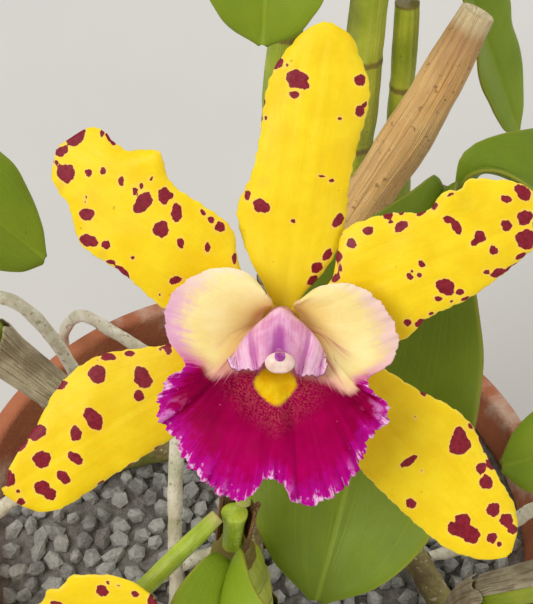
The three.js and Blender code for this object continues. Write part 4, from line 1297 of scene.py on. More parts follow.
def paper_recipe(surface, place, dark, light, vein):
    fibres = veined(attribute(surface, "across"), attribute(surface, "along"), 34.0, 2.0)
    skin = mottled(place, 150.0, dark, light)
    skin = tinted(times(fibres, 0.6), skin, vein)
    stains = between(noise(place, 240.0, 4.0), 0.6, 0.7, 0.0, 0.5)
    skin = tinted(stains, skin, dark)
    height = plus(times(fibres, 1.2), grained(place, 2200.0))
    return skin, height, 0.00025, 0.8, between(fibres, 0.0, 1.0, 0.62, 0.85)


dry_paper = new_material("dry papery bract", paper_recipe, colour(150, 132, 104), colour(196, 182, 152),
                         colour(112, 92, 66), roughness=0.75, subsurface=0.05)


TORN_SHARE = 0.12
SLEEVE_HALF = 0.12
SLEEVE_SPANS = ((3, 44), (38, 84))


def sleeve_grid(path, radius, start_turn, sweep, seed, rows, columns):
    side, up = path_frames(path)
    t = np.linspace(0, 1, rows)[:, None]
    v = np.linspace(0, 1, columns)[None, :]
    ragged = 1 - TORN_SHARE * (0.5 + 0.5 * waves(v * 9, 2.1, seed)) - TORN_SHARE * np.abs(2 * v - 1) ** 3
    at = t * ragged
    index = np.arange(len(path)) / (len(path) - 1)
    centre = sampled(at, index, path)
    spoke_a = sampled(at, index, side)
    spoke_b = sampled(at, index, up)
    turn = np.radians(start_turn + sweep * v) + 0 * t
    reach = np.interp(at, index, radius) + 0.35 + 0.22 * waves(v * 30 + 0 * t, 4.3, seed + 1) * (0.4 + t)
    reach = reach + 0.9 * ease(0.75, 1, t) * (0.4 + 0.6 * waves(v * 10, 3.7, seed + 2) ** 2)
    grid = centre + spoke_a * (reach * np.cos(turn))[..., None] + spoke_b * (reach * np.sin(turn))[..., None]
    return grid, {"along": at, "across": 2 * v - 1 + 0 * t}


for seed, (name, growth) in enumerate(BULBS.items(), 1):
    path = bulb_path(name, BULB_STEPS + 1)
    radius = swelling(growth, np.linspace(0, 1, BULB_STEPS + 1)) + 0.25
    sleeves = []
    for k, (low, high) in enumerate(SLEEVE_SPANS):
        start_turn = 70 * seed + 150 * k
        grid, marks = sleeve_grid(path[low:high], radius[low:high] + 0.35 * (1 - k), start_turn, 318 - 30 * k,
                                  10 * seed + k, 32, 48)
        sleeves.append(skin_mesh("sleeve", grid, SLEEVE_HALF, marks))
    add_piece(f"bracts_{name}", joined_mesh(f"bracts_{name}", sleeves), dry_paper, "sheath")

# %% [markdown]
# ## The old cane
#
# One stem flowered years ago and was cut off square. It has dried to a light brown straw with long
# fibres and shallow creases, and its cut end shows pale pith with a darker rind.

# %% Old cut cane
CANE_POINTS = [foot_of("old_cane") + (0, 0, TOUCH_GAP), foot_of("old_cane") + (0, 0, 7), (-1, 28.5, 132),
               (10, 34, 153), (24, 42, 180), (38.5, 50.5, 205), (51.5, 60, 231)]
CANE_RADIUS = [(0, 4.2), (0.2, 4.3), (0.45, 5), (0.7, 6.2), (0.88, 5.4), (1, 4.2)]


def cane_recipe(surface, place):
    along = attribute(surface, "along")
    across = attribute(surface, "around")
    fibres = veined(across, along, 60.0, 5.0)
    broad = veined(across, along, 16.0, 2.4)
    skin = mottled(place, 45.0, colour(222, 168, 100), colour(240, 196, 130))
    skin = tint(skin, times(broad, 0.4), 160, 108, 62)
    skin = tint(skin, between(along, 0.84, 0.99, 0.0, 0.6), 150, 104, 66)
    skin = tint(skin, times(fibres, 0.45), 226, 192, 144)
    scratch = between(noise(place, 600.0, 3.0), 0.62, 0.7, 0.0, 0.6)
    skin = tint(skin, scratch, 106, 66, 36)
    skin = tint(skin, between(along, 0.955, 0.985, 0.0, 0.75), 226, 204, 160)
    cut = attribute(surface, "cut")
    pith = mottled(place, 700.0, colour(214, 190, 142), colour(242, 226, 186))
    skin = tinted(between(cut, 0.3, 0.6), skin, pith)
    skin = tint(skin, between(cut, 1.25, 1.7), 120, 82, 48)
    height = plus(times(broad, -1.5), times(fibres, 0.8))
    return skin, plus(height, grained(place, 1600.0)), 0.0003, 0.7, between(fibres, 0.0, 1.0, 0.5, 0.72)


def cane_mesh(sides=72, count=220):
    t = np.linspace(0, 1, count)
    turn = full_turn(sides)[None, :]
    radius = through(CANE_RADIUS, t)[:, None] * (1 - 0.04 * np.abs(np.cos(np.pi * 6 * t[:, None])) ** 8)
    crease = 0.16 * waves(turn * 6 + 1.5 * t[:, None], 2.2, 3) + 0.1 * waves(t[:, None] * 130, 17, 8)
    rings = tube_rings(smooth_path(CANE_POINTS, count), radius + crease)
    end_centre = rings[-1].mean(axis=0)
    axis = unit(end_centre - rings[-6].mean(axis=0))
    ends = []
    for share, sink, mark in ((0.96, -0.25, 0.2), (0.86, -0.1, 1), (0.6, 0.35, 1), (0.3, 0.9, 1.4),
                              (0.1, 1.1, 2)):
        depth = sink + 0.3 * mark * (share < 0.5)
        ends.append((end_centre + (rings[-1] - end_centre) * share - axis * depth, mark))
    stack = np.concatenate([rings, np.stack([ring for ring, _ in ends])])
    along = np.concatenate([t, np.ones(len(ends))])[:, None]
    cut = np.concatenate([np.zeros(count), [mark for _, mark in ends]])[:, None]
    return ring_mesh("dried_cane", stack, {"along": along, "around": turn / np.pi - 1, "cut": cut})


dried_straw = new_material("dried straw cane", cane_recipe, roughness=0.6)
add_piece("dried_cane", cane_mesh(), dried_straw, "dried_cane", "old_cut_cane")

# %% [markdown]
# ## The rhizome
#
# The creeping stem is woody, knobbly and grown together where it forks. Its tubes and knuckles are
# fused by a voxel remesh, which makes one skin of all that overlaps, and then smoothed so that the
# joins look grown.

# %% Fused rhizome
RHIZOME_VOXEL = 0.9
RING_PITCH = 6.0


def rhizome_mesh():
    parts = []
    for seed, (a, b) in enumerate(CREEPING):
        first, last = np.array(GROWTHS[a]["foot"], float), np.array(GROWTHS[b]["foot"], float)
        points = []
        for t in (0, 0.5, 1):
            x, y = mix(first, last, t)
            points.append((x, y, mix_height(x, y) + TOUCH_GAP + RHIZOME_RADIUS + 0.2))
        count = 60
        t = np.linspace(0, 1, count)[:, None]
        run = np.linalg.norm(last - first) * t
        turn = full_turn(32)[None, :]
        radius = RHIZOME_RADIUS - 0.6 * np.sin(np.pi * t)
        radius = radius + 0.3 * np.abs(np.cos(np.pi * run / RING_PITCH)) ** 12
        rings = tube_rings(smooth_path(points, count), radius + 0.12 * waves(turn * 4 + run, 3, seed))
        parts.append(ring_mesh("creep", rings))
    for name, growth in GROWTHS.items():
        foot = foot_of(name)
        wide = min(5.6, growth.get("radius", 6) + 1.6)
        profile = [(0, wide - 0.4), (0.3, wide + 0.1), (0.6, wide - 0.2), (0.8, wide - 0.6), (1, wide - 1.6)]
        t = np.linspace(0, 1, 20)[:, None]
        turn = full_turn(32)[None, :]
        r = through(profile, t) + 0 * turn
        z = foot[2] - (KNUCKLE_RISE - 1.5) * (1 - t)
        parts.append(ring_mesh("knuckle", np.stack([foot[0] + r * np.cos(turn), foot[1] + r * np.sin(turn),
                                                    z + 0 * turn], axis=-1)))
    holder = linked("rhizome_parts", joined_mesh("rhizome_parts", parts))
    remesh = holder.modifiers.new("fuse", "REMESH")
    remesh.mode = "VOXEL"
    remesh.voxel_size = RHIZOME_VOXEL * MM
    smooth = holder.modifiers.new("soften", "SMOOTH")
    smooth.factor = 0.5
    smooth.iterations = 4
    return turned_outward(baked(holder))


def rhizome_recipe(surface, place):
    skin = mottled(place, 130.0, colour(96, 78, 44), colour(146, 134, 78))
    skin = tint(skin, between(noise(place, 420.0, 4.0), 0.58, 0.66, 0.0, 0.8), 190, 178, 150)
    skin = tint(skin, between(noise(place, 60.0, 2.0), 0.55, 0.68, 0.0, 0.7), 112, 122, 40)
    return skin, plus(grained(place, 900.0), noise(place, 300.0, 4.0)), 0.0006, 0.8


woody = new_material("woody rhizome", rhizome_recipe, roughness=0.75)
add_piece("creeping_stem", rhizome_mesh(), woody, "rhizome", "rhizome")

# %% [markdown]
# ## Roots
#
# Orchid roots are thick pale cords. Their spongy white skin is dull and a little lumpy, with a green
# growing tip on the ones that are alive. They arch through the air, cross the stones and hang over the
# rim.

# %% Roots
ROOTS = [
    [(-16, 23, 111.1), (-16, 17, 122), (-17, 8, 143), (-19, -5, 155), (-20, -20, 142), (-20, -33, 124),
     (-22, -47, 107), (-26, -59, 103.6)],
    [(-36, 17.9, 109.9), (-38, 8, 124), (-50, -6, 138), (-68, -18, 134), (-84, -30, 118), (-90, -38, 97),
     (-90, -44, 74)],
    [(-46, 24, 109.8), (-50, 34, 128), (-66, 44, 146), (-84, 46, 140), (-97, 44, 118), (-100, 44, 92)],
    [(3.8, -49, 107), (9, -57, 107), (13, -65, 110), (16, -72, 113.5), (18, -79, 113.8), (20, -86, 109),
     (21, -91, 96), (20, -91, 78)],
    [(45.2, -11.6, 107.2), (56, -8, 107), (66, -4, 110), (73, -1, 113.8), (81, 1, 113.8), (88, 3, 108),
     (92, 5, 92)],
    [(-7.3, 32.5, 107.5), (-16, 42, 108), (-30, 52, 111), (-42, 59, 114), (-51, 65, 114), (-58, 70, 101),
     (-60, 72, 82)],
    [(-5.8, -10, 108.4), (-16, -12, 107), (-30, -20, 105.6), (-42, -30, 104.6), (-50, -42, 103.8)],
    [(50, -40.4, 105.8), (44, -50, 103.2), (34, -58, 102.8), (22, -64, 102.3)],
]


def root_recipe(surface, place):
    along = attribute(surface, "along")
    skin = mottled(place, 260.0, colour(206, 194, 168), colour(232, 226, 208))
    skin = tint(skin, between(noise(place, 700.0, 4.0), 0.58, 0.66, 0.0, 0.7), 150, 132, 100)
    skin = tint(skin, between(noise(place, 90.0, 2.0), 0.54, 0.66, 0.0, 0.45), 160, 164, 118)
    skin = tint(skin, between(along, 0.955, 0.985), 132, 148, 62)
    return skin, plus(grained(place, 1500.0), noise(place, 500.0, 3.0)), 0.0004, 0.8


chalky = new_material("chalky root skin", root_recipe, roughness=0.85)
ROOT_THICKNESS = [(0, 1.3), (0.08, 1.8), (0.85, 1.7), (0.97, 1.4), (1, 0.5)]
for k, route in enumerate(ROOTS):
    count = 26 * len(route)
    t = np.linspace(0, 1, count)
    radius = through(ROOT_THICKNESS, t) + 0.12 * waves(t * len(route), 0.9, k)
    mesh = stem_by_nodes(f"air_root_{k + 1}", smooth_path(route, count), radius, chalky, sides=20, lump=260.0,
                         lump_depth=0.5)
    add_piece(f"air_root_{k + 1}", mesh, chalky, "root", f"root_{k + 1}")

# %% [markdown]
# ## Leaves
#
# A cattleya leaf is a stiff leathery tongue. It is folded like a channel at its foot and opens flat
# towards a round tip, with one sunken midrib. Each leaf is a list of points that its midline passes
# through, and a width.

# %% Midlines and widths of the leaves
LEAF_HALF = 0.75
LEAF_ROWS, LEAF_COLUMNS = 84, 33
LEAF_SHAPE = [(0, 0.13), (0.08, 0.24), (0.2, 0.56), (0.35, 0.86), (0.52, 1), (0.7, 0.95), (0.84, 0.76),
              (0.94, 0.46), (1, 0.07)]
# Each leaf's share after its width is painted light: low for a leaf in shade, high for one in light.
LEAVES = {
    "flowering": {"growth": "flowering", "width": 40, "painted_light_share": 0.9, "line": [
        (-5, -68.5, 197), (-7, -77, 197), (-5, -96, 187), (2, -116, 174), (10, -132, 158)]},
    "right_front": {"growth": "right", "width": 49, "painted_light_share": 0.15, "line": [
        (40.5, 12, 219.5), (34, -2, 214), (25, -25, 199), (18.5, -46, 186), (13, -63, 175)]},
    "right_side": {"growth": "right", "width": 38, "painted_light_share": 0.5, "line": [
        (50, 20, 219.5), (61, 20, 215), (78, 22, 199), (92, 24, 180)]},
    "back_front": {"growth": "back", "width": 30, "painted_light_share": 0.4, "line": [
        (7, 75, 243.5), (4, 68, 249), (2.5, 58, 243), (1.5, 50, 230)]},
    "back_side": {"growth": "back", "width": 34, "painted_light_share": 0.45, "line": [
        (4, 88, 244), (-14, 99, 255), (-44, 116, 252)]},
    "back_right_rear": {"growth": "back_right", "width": 36, "painted_light_share": 0.35, "line": [
        (24.5, 73, 249), (17, 92, 262), (6, 120, 260)]},
    "back_right_side": {"growth": "back_right", "width": 34, "painted_light_share": 0.5, "line": [
        (33, 65, 249), (58, 66, 262), (92, 66, 258)]},
    "slim": {"growth": "slim", "width": 26, "painted_light_share": 0.6, "roll": 25, "line": [
        (41, 75, 232), (50, 82, 223), (59, 80, 202), (68, 73, 180)]},
    "left_inner": {"growth": "left", "width": 30, "painted_light_share": 0.55, "line": [
        (-94, 23, 227), (-82, 18, 232), (-64, 12, 219), (-48, 8, 203)]},
    "left_outer": {"growth": "left", "width": 32, "painted_light_share": 0.4, "line": [
        (-104, 31, 226), (-114, 48, 237), (-124, 76, 234)]},
    "far_right_inner": {"growth": "far_right", "width": 30, "painted_light_share": 0.65, "line": [
        (102, -42, 193.5), (91, -43, 203), (70, -44, 206), (51, -45, 198)]},
    "far_right_outer": {"growth": "far_right", "width": 32, "painted_light_share": 0.45, "line": [
        (111, -48, 192), (124, -60, 200), (142, -80, 190)]},
}


print("leaf widths, in mm:", {name: leaf["width"] for name, leaf in LEAVES.items()})

# %% [markdown]
# A leaf starts on its side of the stem's top and follows its midline. Its two halves rise from the
# sunken rib like a channel that opens towards the tip, and its margin waves a little.

# %% Shape of a leaf


def seat_on_top(name, towards, off_centre, lift):
    growth = GROWTHS[name]
    top = np.array(growth["top"], float)
    axis = unit(top - np.array(growth["bend"], float))
    out = np.array(towards, float) - top
    out = unit(out - axis * (out @ axis))
    return top + out * off_centre + axis * lift


def leaf_grid(leaf, rows, columns, seed):
    line = [np.array(point, float) for point in leaf["line"]]
    foot = seat_on_top(leaf["growth"], line[-1], GROWTHS[leaf["growth"]]["top_radius"] - 0.9, 0.95)
    dense = smooth_path([foot] + line, 400)
    chord = line[-1] - foot
    level = unit(np.cross(chord, (0, 0, 1)))
    level = turned_about(level, unit(chord), leaf.get("roll", 0))
    place = np.linspace(0, 1, rows)
    t = mix(place, 1 - (1 - place) ** 1.35, 0.5)
    index = np.linspace(0, 1, 400)
    centre = sampled(t, index, dense)
    slope = unit(np.gradient(dense, axis=0))
    tangent = unit(sampled(t, index, slope))
    side = unit(level - tangent * (tangent @ level)[:, None])
    upper = unit(np.cross(side, tangent))
    v = np.linspace(-1, 1, columns)
    v = np.sign(v) * (1 - (1 - np.abs(v)) ** 1.2)
    half_width = leaf["width"] / 2 * through(LEAF_SHAPE, t)
    edge = 0.25 * waves(t * 120, 26, seed, 2)[:, None] * np.abs(v) ** 4 * ease(0.15, 0.4, t)[:, None]
    reach = v * (half_width[:, None] + edge)
    fold = np.radians(through([(0, 62), (0.25, 27.9), (0.6, 14), (1, 6)], t))[:, None]
    rise = np.abs(reach) * np.sin(fold)
    rise = rise - 0.42 * np.exp(-(reach / 0.9) ** 2) * ease(1, 0.9, t)[:, None]
    rise = rise - 0.5 * np.abs(v) ** 8 * ease(0.2, 0.5, t)[:, None]
    rise = rise + 0.5 * waves(t * 120, 44, seed + 3, 2)[:, None] * np.abs(v) ** 2 * ease(0.2, 0.5, t)[:, None]
    grid = centre[:, None] + side[:, None] * (reach * np.cos(fold))[..., None] + upper[:, None] * rise[...,
                                                                                                       None]
    thickness = LEAF_HALF * (1 - 0.6 * np.abs(v) ** 5) * np.ones((rows, 1))
    marks = {"along": np.broadcast_to(t[:, None], (rows, columns)),
             "across": np.broadcast_to(v, (rows, columns)), "painted_light_share": leaf["painted_light_share"], "across_mm": reach}
    return grid, thickness, marks


print("a grid of points:", leaf_grid(LEAVES["slim"], 5, 3, 1)[0].shape)

# %% [markdown]
# The light on each leaf is painted into its colour: a leaf in shade is painted a dark green and one in light
# a yellow-green, mixed by a share of its own. Fine lines run its length, and it has sunned patches, a paler
# margin and a few specks.

# %% Leathery green


def leaf_recipe(surface, place):
    along = attribute(surface, "along")
    across = attribute(surface, "across")
    painted_light_share = attribute(surface, "painted_light_share")
    painted_shade_green = mottled(place, 34.0, colour(58, 80, 0), colour(90, 112, 2))
    painted_light_green = mottled(place, 34.0, colour(116, 148, 4), colour(150, 174, 20))
    # Painted shade and painted light: each leaf's share mixes the shaded green with the lit green.
    skin = tinted(painted_light_share, painted_shade_green, painted_light_green)
    lines = veined(across, along, 26.0, 1.6)
    skin = tint(skin, times(lines, 0.2), 138, 158, 14)
    rib = between(maths("ABSOLUTE", attribute(surface, "across_mm")), 0.9, 0.25, 0.0, 0.55)
    skin = tint(skin, rib, 152, 172, 44)
    sunned = times(between(noise(place, 22.0, 2.0), 0.5, 0.75),
                   between(along, 0.3, 0.9, 0.1, 0.5))
    skin = tint(skin, sunned, 150, 156, 10)
    margin = between(maths("ABSOLUTE", across), 0.94, 1.0, 0.0, 0.5)
    skin = tint(skin, margin, 168, 150, 60)
    speck = between(noise(place, 520.0, 3.0), 0.69, 0.74, 0.0, 0.5)
    skin = tint(skin, speck, 96, 80, 30)
    under = between(attribute(surface, "front"), 0.6, 0.2, 0.0, 0.4)
    skin = tint(skin, under, 140, 160, 50)
    height = plus(times(lines, -0.7), grained(place, 1700.0))
    return skin, height, 0.00012, 0.5, between(noise(place, 80.0, 4.0), 0.3, 0.7, 0.4, 0.56)


leathery = new_material("leathery green", leaf_recipe, roughness=0.5, subsurface=0.04, specular=0.2)
for k, (name, leaf) in enumerate(LEAVES.items()):
    grid, thickness, marks = leaf_grid(leaf, LEAF_ROWS, LEAF_COLUMNS, 20 * k)
    add_piece(f"leaf_{name}_blade", skin_mesh(f"leaf_{name}_blade", grid, thickness, marks, -1), leathery,
              "leaf",
              f"leaf_{name}")

# %% [markdown]
# ## Flower stalks
#
# A short stalk rises from the flowering cane and forks into two stalks, one to each bloom. Behind a
# bloom the stalk thickens into the ovary, which has six shallow grooves.

# %% Stalks
STALK_TOP = np.array([-4, -58.6, 203])
STALK_FOOT = seat_on_top("flowering", np.array(GROWTHS["flowering"]["top"]) + (0, 10, 0), 1.4, 1)
STALK_RADIUS = [(0, 1.5), (0.1, 1.8), (0.55, 1.9), (0.8, 2.5), (1, 3.1)]
SEAT_DEPTH = 2.65
STALKS = {
    "bloom_1": [(-2.3, -57.6, 204.4), (-1.6, -54.5, 213), (0.5, -45, 224), (3.4, -36, 230.4)],
    "bloom_2": [(-7.3, -60.6, 204.3), (-14, -66, 200.8), (-25, -73.4, 194), (-40, -76.5, 187)],
}


def stalk_recipe(surface, place):
    around = attribute(surface, "around")
    along = attribute(surface, "along")
    skin = mottled(place, 130.0, colour(134, 160, 16), colour(172, 192, 50))
    lines = veined(around, along, 12.0, 3.0)
    skin = tint(skin, times(lines, 0.4), 198, 206, 96)
    speck = between(noise(place, 900.0, 2.0), 0.68, 0.74, 0.0, 0.5)
    skin = tint(skin, speck, 112, 104, 34)
    skin = tint(skin, between(along, 0.05, 0.0, 0.0, 0.7), 186, 170, 110)
    return skin, plus(grained(place, 2400.0), lines), 0.00012, 0.5


def stalk_mesh(name, points, radius_at, grooves, count=150, sides=48):
    t = np.linspace(0, 1, count)[:, None]
    turn = full_turn(sides)[None, :]
    groove = grooves * 0.22 * ease(0.5, 0.85, t) * np.cos(6 * turn + 1.2 * t)
    lump = 0.05 * waves(t * 60 + turn * 3, 7, 4)
    rings = tube_rings(smooth_path(points, count), radius_at(t) + groove + lump)
    return ring_mesh(name, rings, {"along": t, "around": turn / np.pi - 1})


green_stalk = new_material("green flower stalk", stalk_recipe, roughness=0.42, subsurface=0.12)
for bloom, points in STALKS.items():
    out = BLOOMS[bloom]["axes"][2]
    seat = BLOOMS[bloom]["centre"] - SEAT_DEPTH * out
    mesh = stalk_mesh(f"{bloom}_stalk", points + [seat - 5 * out, seat], lambda t: through(STALK_RADIUS, t),
                      1)
    add_piece(f"{bloom}_stalk", mesh, green_stalk, "stem", f"{bloom}_pedicel")
mesh = stalk_mesh("main_stalk", [STALK_FOOT, mix(STALK_FOOT, STALK_TOP, 0.5), STALK_TOP],
                  lambda t: 2.1 + 0.6 * ease(0.6, 1, t) - 0.9 * ease(0.95, 1, t), 0, 60)
add_piece("main_stalk", mesh, green_stalk, "stem", "peduncle")

# %% [markdown]
# The sheath that once held the buds has dried to brown paper. It wraps half round the short stalk, and its
# torn upper edge stands away from it.

# %% Dried flower sheath
SHEATH_HALF = 0.22
dark_paper = new_material("dried flower sheath", paper_recipe, colour(84, 54, 28), colour(140, 100, 56),
                          colour(58, 36, 20), roughness=0.75, subsurface=0.05)


def sheath_grid(rows, columns):
    t = np.linspace(0, 1, rows)[:, None]
    v = np.linspace(0, 1, columns)[None, :]
    turn = np.radians(mix(-50 + 30 * t, 170 - 40 * t, v))
    torn = t * (1 - 0.12 * (0.5 + 0.5 * waves(v * 10, 1.9, 6)))
    r = 3.2 + 0.9 * t + 0.18 * waves(v * 30, 4, 2) + 0.9 * ease(0.8, 1, t) * waves(v * 10, 4.1, 3) ** 2
    axis = STALK_TOP - STALK_FOOT
    grid = STALK_FOOT + axis * (0.06 + 0.98 * torn)[..., None]
    grid = grid + np.stack([r * np.cos(turn), r * np.sin(turn), 0 * r], axis=-1)
    return grid, {"along": torn, "across": 2 * v - 1 + 0 * t}


grid, marks = sheath_grid(50, 70)
add_piece("torn_sheath", skin_mesh("torn_sheath", grid, SHEATH_HALF, marks), dark_paper, "sheath",
          "flower_sheath")

# %% [markdown]
# ## Stone chips
#
# The pot is filled with coarse grey stone. A dark bed takes the place of the solid dome, and geometry
# nodes scatter chips over it: points a few millimetres apart, a rough stone on each, turned at random,
# and each chip with its own shade, kept as an attribute.

# %% Bed of the potting mix
BED_DROP = 2.2
BED_FOOT = 50.6
POT_FLOOR = 6


def bed_mesh(count=40, sides=128):
    turn = full_turn(sides)
    rings = [np.stack([BED_FOOT * np.cos(turn), BED_FOOT * np.sin(turn), POT_FLOOR + TOUCH_GAP + 0 * turn],
                      axis=-1)]
    for r in MIX_RADIUS * (1 - np.arange(count) / count):
        x, y = r * np.cos(turn), r * np.sin(turn)
        bumps = 0.8 * waves(x, 9, 1) * waves(y, 8, 2)
        rings.append(np.stack([x, y, mix_height(x, y) - BED_DROP + bumps], axis=-1))
    return ring_mesh("stone_bed", np.stack(rings))


def stone_recipe(surface, place):
    shade = attribute(surface, "shade")
    skin = mottled(place, 420.0, colour(112, 112, 110), colour(158, 157, 153))
    skin = tint(skin, times(shade, 0.75), 200, 197, 190)
    brown = between(shade, 0.0, 0.16, 0.35, 0.0)
    skin = tint(skin, brown, 96, 74, 54)
    skin = tint(skin, between(noise(place, 1500.0, 3.0), 0.6, 0.68, 0.0, 0.5), 60, 60, 60)
    return skin, plus(grained(place, 1100.0), noise(place, 700.0, 5.0)), 0.0005, 0.9


grey_stone = new_material("grey stone chips", stone_recipe, roughness=0.85)
add_piece("stone_bed", bed_mesh(), grey_stone, "potting_stones", "potting_mix")

# %% [markdown]
# The chips have a tree of their own. Its last step but two pushes their skins in and out, so that no
# two chips have the same edges.

# %% Geometry nodes tree: stone chips
CHIP_SPACING = 3.8
CHIP_RADIUS = 3.5

chip_tree, given, result = new_tree("GeometryNodeTree", "Stone chips", SHAPE + [
    ("Spacing", FLOAT), ("Radius", FLOAT), ("Seed", WHOLE), ("Material", SURFACE)], SHAPE)
spread = node(chip_tree, "GeometryNodeDistributePointsOnFaces", {"distribute_method": "POISSON"},
              Mesh=given["Geometry"], Distance_Min=given["Spacing"], Density_Max=200000.0, Seed=given["Seed"])


def drawn(tree, kind, low, high, seed):
    made = tree.nodes.new("FunctionNodeRandomValue")
    made.data_type = kind
    first = 0 if kind == "FLOAT_VECTOR" else 2
    made.inputs[first].default_value = low
    made.inputs[first + 1].default_value = high
    made.inputs["Seed"].default_value = seed
    return made.outputs[0 if kind == "FLOAT_VECTOR" else 1]


points = stored(chip_tree, spread.outputs["Points"], "shade", drawn(chip_tree, "FLOAT", 0.0, 1.0, 3))
chip = node(chip_tree, "GeometryNodeMeshIcoSphere", Radius=given["Radius"], Subdivisions=1).outputs["Mesh"]
turned = drawn(chip_tree, "FLOAT_VECTOR", (0, 0, 0), (6.28, 6.28, 6.28), 4)
squeezed = drawn(chip_tree, "FLOAT_VECTOR", (0.6, 0.45, 0.4), (1.15, 0.9, 0.75), 5)
chips = node(chip_tree, "GeometryNodeInstanceOnPoints", Points=points, Instance=chip, Rotation=turned,
             Scale=squeezed).outputs[0]
chips = node(chip_tree, "GeometryNodeRealizeInstances", Geometry=chips).outputs[0]
rough = node(chip_tree, "ShaderNodeTexVoronoi", {"feature": "F1"}, Scale=230.0).outputs["Distance"]
rough = times(maths("SUBTRACT", rough, 0.45), 0.0021)
end_tree(pushed_out(chips, rough), given, result)


def dome_mesh(rings=14, sides=64, inset=3.5, drop=1.2):
    turn = full_turn(sides)
    radii = (MIX_RADIUS - inset) * (1 - np.arange(rings) / rings)
    x, y = np.outer(radii, np.cos(turn)), np.outer(radii, np.sin(turn))
    points = np.stack([x, y, mix_height(x, y) - drop], axis=-1).reshape(-1, 3)
    last = (rings - 1) * sides
    centre = [[0, 0, mix_height(0, 0) - drop]]
    fan = [[last + j, last + (j + 1) % sides, len(points)] for j in range(sides)]
    return new_mesh("dome", np.concatenate([points, centre]), ring_walls(rings, sides) + fan)


chip_mesh = run_tree("stone_chips", dome_mesh(), chip_tree, {
    "Spacing": CHIP_SPACING * MM, "Radius": CHIP_RADIUS * MM, "Seed": 11, "Material": grey_stone})
add_piece("stone_chips", chip_mesh, grey_stone, "potting_stones", smooth=False)

# %% [markdown]
# ## The clay pot
#
# A plain thrown pot: a tapered wall, a thick rim band and four drain holes. Its profile is turned round the
# axis, with the corners rounded as a sponge leaves them, and the holes are cut by a Boolean.

# %% Turned pot with drain holes
POT_HEIGHT, RIM_HEIGHT, RIM_RADIUS, SHOULDER_RADIUS, BASE_RADIUS, POT_WALL = 110, 18, 80, 76.5, 55, 5
HOLE_RADIUS, HOLE_CIRCLE, HOLES = 6, 30, 4


def rounded_profile(corners, steps=6):
    points = []
    for k, (r, z, radius) in enumerate(corners):
        here = np.array([r, z], float)
        if radius == 0:
            points.append(here)
            continue
        before = np.array(corners[k - 1][:2], float)
        after = np.array(corners[k + 1][:2], float)
        start = here + unit(before - here) * radius
        stop = here + unit(after - here) * radius
        for t in np.linspace(0, 1, steps):
            points.append((1 - t) ** 2 * start + 2 * t * (1 - t) * here + t * t * stop)
    return np.array(points)


def filled(points, pitch):
    dense = [points[:1]]
    for a, b in zip(points[:-1], points[1:]):
        pieces = max(1, int(np.linalg.norm(b - a) / pitch))
        dense.append(a + (b - a) * (np.arange(1, pieces + 1) / pieces)[:, None])
    return np.concatenate(dense)


def pot_mesh(sides=144):
    band = POT_HEIGHT - RIM_HEIGHT
    corners = [(0.5, 0, 0), (BASE_RADIUS, 0, 1.6), (SHOULDER_RADIUS - 1, band - 4, 1.5),
               (SHOULDER_RADIUS, band, 0.8),
               (RIM_RADIUS, band + 0.8, 1.2), (RIM_RADIUS, POT_HEIGHT, 1.8),
               (RIM_RADIUS - POT_WALL, POT_HEIGHT, 1.6), (BASE_RADIUS - POT_WALL + 1, POT_FLOOR, 1.0),
               (0.5, POT_FLOOR, 0)]
    profile = filled(rounded_profile(corners), 2.5)
    turn = full_turn(sides)
    r, z = profile[:, :1], profile[:, 1:]
    outside = ease(30, 50, r)
    r = r + outside * 0.1 * waves(z, 11, 2) + outside * 0.12 * waves(turn[None, :] * 20, 42, 5, 2)
    rings = np.stack([r * np.cos(turn), r * np.sin(turn), z + 0 * r * turn], axis=-1)
    body = linked("pot_body", ring_mesh("pot_body", rings, uv=False))
    drills = []
    for k in range(HOLES):
        angle = 2 * math.pi * (k + 0.5) / HOLES
        small = full_turn(40)
        x = HOLE_CIRCLE * math.cos(angle) + HOLE_RADIUS * np.cos(small)
        y = HOLE_CIRCLE * math.sin(angle) + HOLE_RADIUS * np.sin(small)
        drills.append(ring_mesh("drill", np.stack([np.stack([x, y, 0 * x - 5], axis=-1),
                                                   np.stack([x, y, 0 * x + 15], axis=-1)]), uv=False))
    drill = linked("drills", joined_mesh("drills", drills))
    cut = body.modifiers.new("holes", "BOOLEAN")
    cut.operation = "DIFFERENCE"
    cut.solver = "EXACT"
    cut.object = drill
    finished = baked(body)
    bpy.data.objects.remove(drill)
    return finished


print("pot:", RIM_RADIUS * 2, "mm across,", POT_HEIGHT, "mm high,", HOLES, "holes")

# %% [markdown]
# Old clay is never even. Fine turning lines run round it, its foot is darker where water rises, white salts
# come out above that, and a little moss grows near the ground.

# %% Terracotta


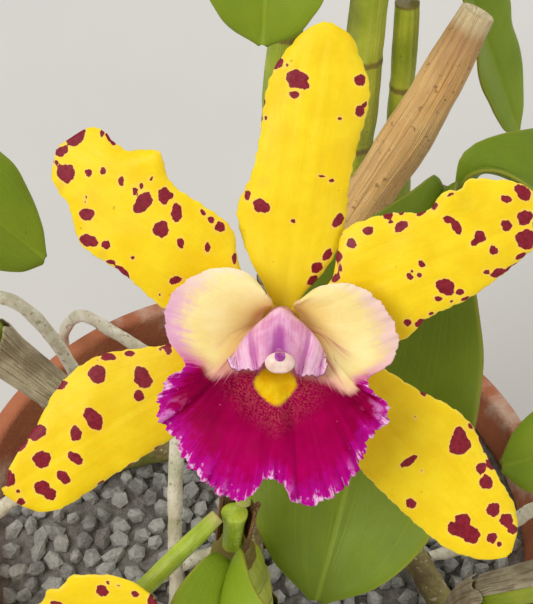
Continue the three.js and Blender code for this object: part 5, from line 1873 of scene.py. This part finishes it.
def pot_recipe(surface, place):
    height = node(place.id_data, "ShaderNodeSeparateXYZ", Vector=place).outputs["Z"]
    skin = mottled(place, 28.0, colour(166, 92, 58), colour(190, 116, 78))
    thrown = node(place.id_data, "ShaderNodeCombineXYZ", Z=height).outputs[0]
    rings = noise(thrown, 420.0, 4.0, 0.7)
    skin = tint(skin, between(rings, 0.52, 0.68, 0.0, 0.22), 206, 138, 100)
    damp = plus(height, times(noise(place, 30.0, 4.0), 0.05))
    skin = tint(skin, between(damp, 0.075, 0.035, 0.0, 0.5), 130, 72, 48)
    salt = times(between(noise(place, 46.0, 6.0, 0.62), 0.5, 0.66),
                 between(damp, 0.05, 0.11, 0.25, 1.0))
    skin = tint(skin, times(salt, 0.6), 222, 200, 180)
    moss = times(between(noise(place, 70.0, 5.0), 0.56, 0.66),
                 between(damp, 0.04, 0.015, 0.0, 0.5))
    skin = tint(skin, moss, 96, 100, 56)
    speck = between(noise(place, 1300.0, 2.0), 0.68, 0.76, 0.0, 0.5)
    skin = tint(skin, speck, 104, 60, 42)
    relief = plus(times(rings, 1.2), grained(place, 1300.0))
    return skin, plus(relief, noise(place, 500.0, 5.0)), 0.0004, 0.6, between(salt, 0.0, 1.0, 0.78, 0.95)


weathered_clay = new_material("weathered terracotta", pot_recipe, roughness=0.85)
add_piece("clay_pot", pot_mesh(), weathered_clay, "terracotta", "pot")

# %% [markdown]
# ## Floor and light
#
# The plant stands on a plain pale floor under wide soft lamps, as in a studio with diffusers. A broad
# key lamp from the upper left gives the gentle highlights, and a weaker one from the right keeps the
# shadows open.

# %% Floor and lights
FLOOR_SIZE = 6.0
floor_mesh = bpy.data.meshes.new("floor")
half = FLOOR_SIZE / 2
floor_mesh.from_pydata([(-half, -half, 0), (half, -half, 0), (half, half, 0), (-half, half, 0)], [],
                       [(0, 1, 2, 3)])
floor = linked("floor", floor_mesh)


def floor_recipe(surface, place):
    return [mottled(place, 2.0, colour(205, 203, 198), colour(214, 212, 207))]


floor_material = new_material("pale paper floor", floor_recipe, roughness=0.9)
floor_mesh.materials.append(floor_material)


def soft_lamp(name, place, aim, size, power):
    lamp = bpy.data.lights.new(name, "AREA")
    lamp.shape = "DISK"
    lamp.size = size
    lamp.energy = power
    holder = linked(name, lamp)
    holder.location = place
    holder.rotation_euler = (Vector(aim) - Vector(place)).to_track_quat("-Z", "Y").to_euler()
    print(name, "lamp:", power, "W")


bloom_height = 0.22
soft_lamp("key", (-0.75, -0.65, 1.25), (0, 0, bloom_height), 0.9, 13)
soft_lamp("fill", (0.95, -0.75, 0.75), (0, 0, bloom_height), 1.0, 3)
soft_lamp("rim", (0.3, 0.95, 0.95), (0, 0, bloom_height), 0.8, 5)

world = bpy.data.worlds.new("pale room")
world.use_nodes = True
world.node_tree.nodes["Background"].inputs["Color"].default_value = (1.0, 0.99, 0.96, 1.0)
world.node_tree.nodes["Background"].inputs["Strength"].default_value = 0.5
bpy.context.scene.world = world
bpy.context.scene.view_settings.view_transform = "Standard"

# %% [markdown]
# ## Closing
#
# At the end the view layer is brought up to date.

# %% Finish the scene
bpy.context.view_layer.update()
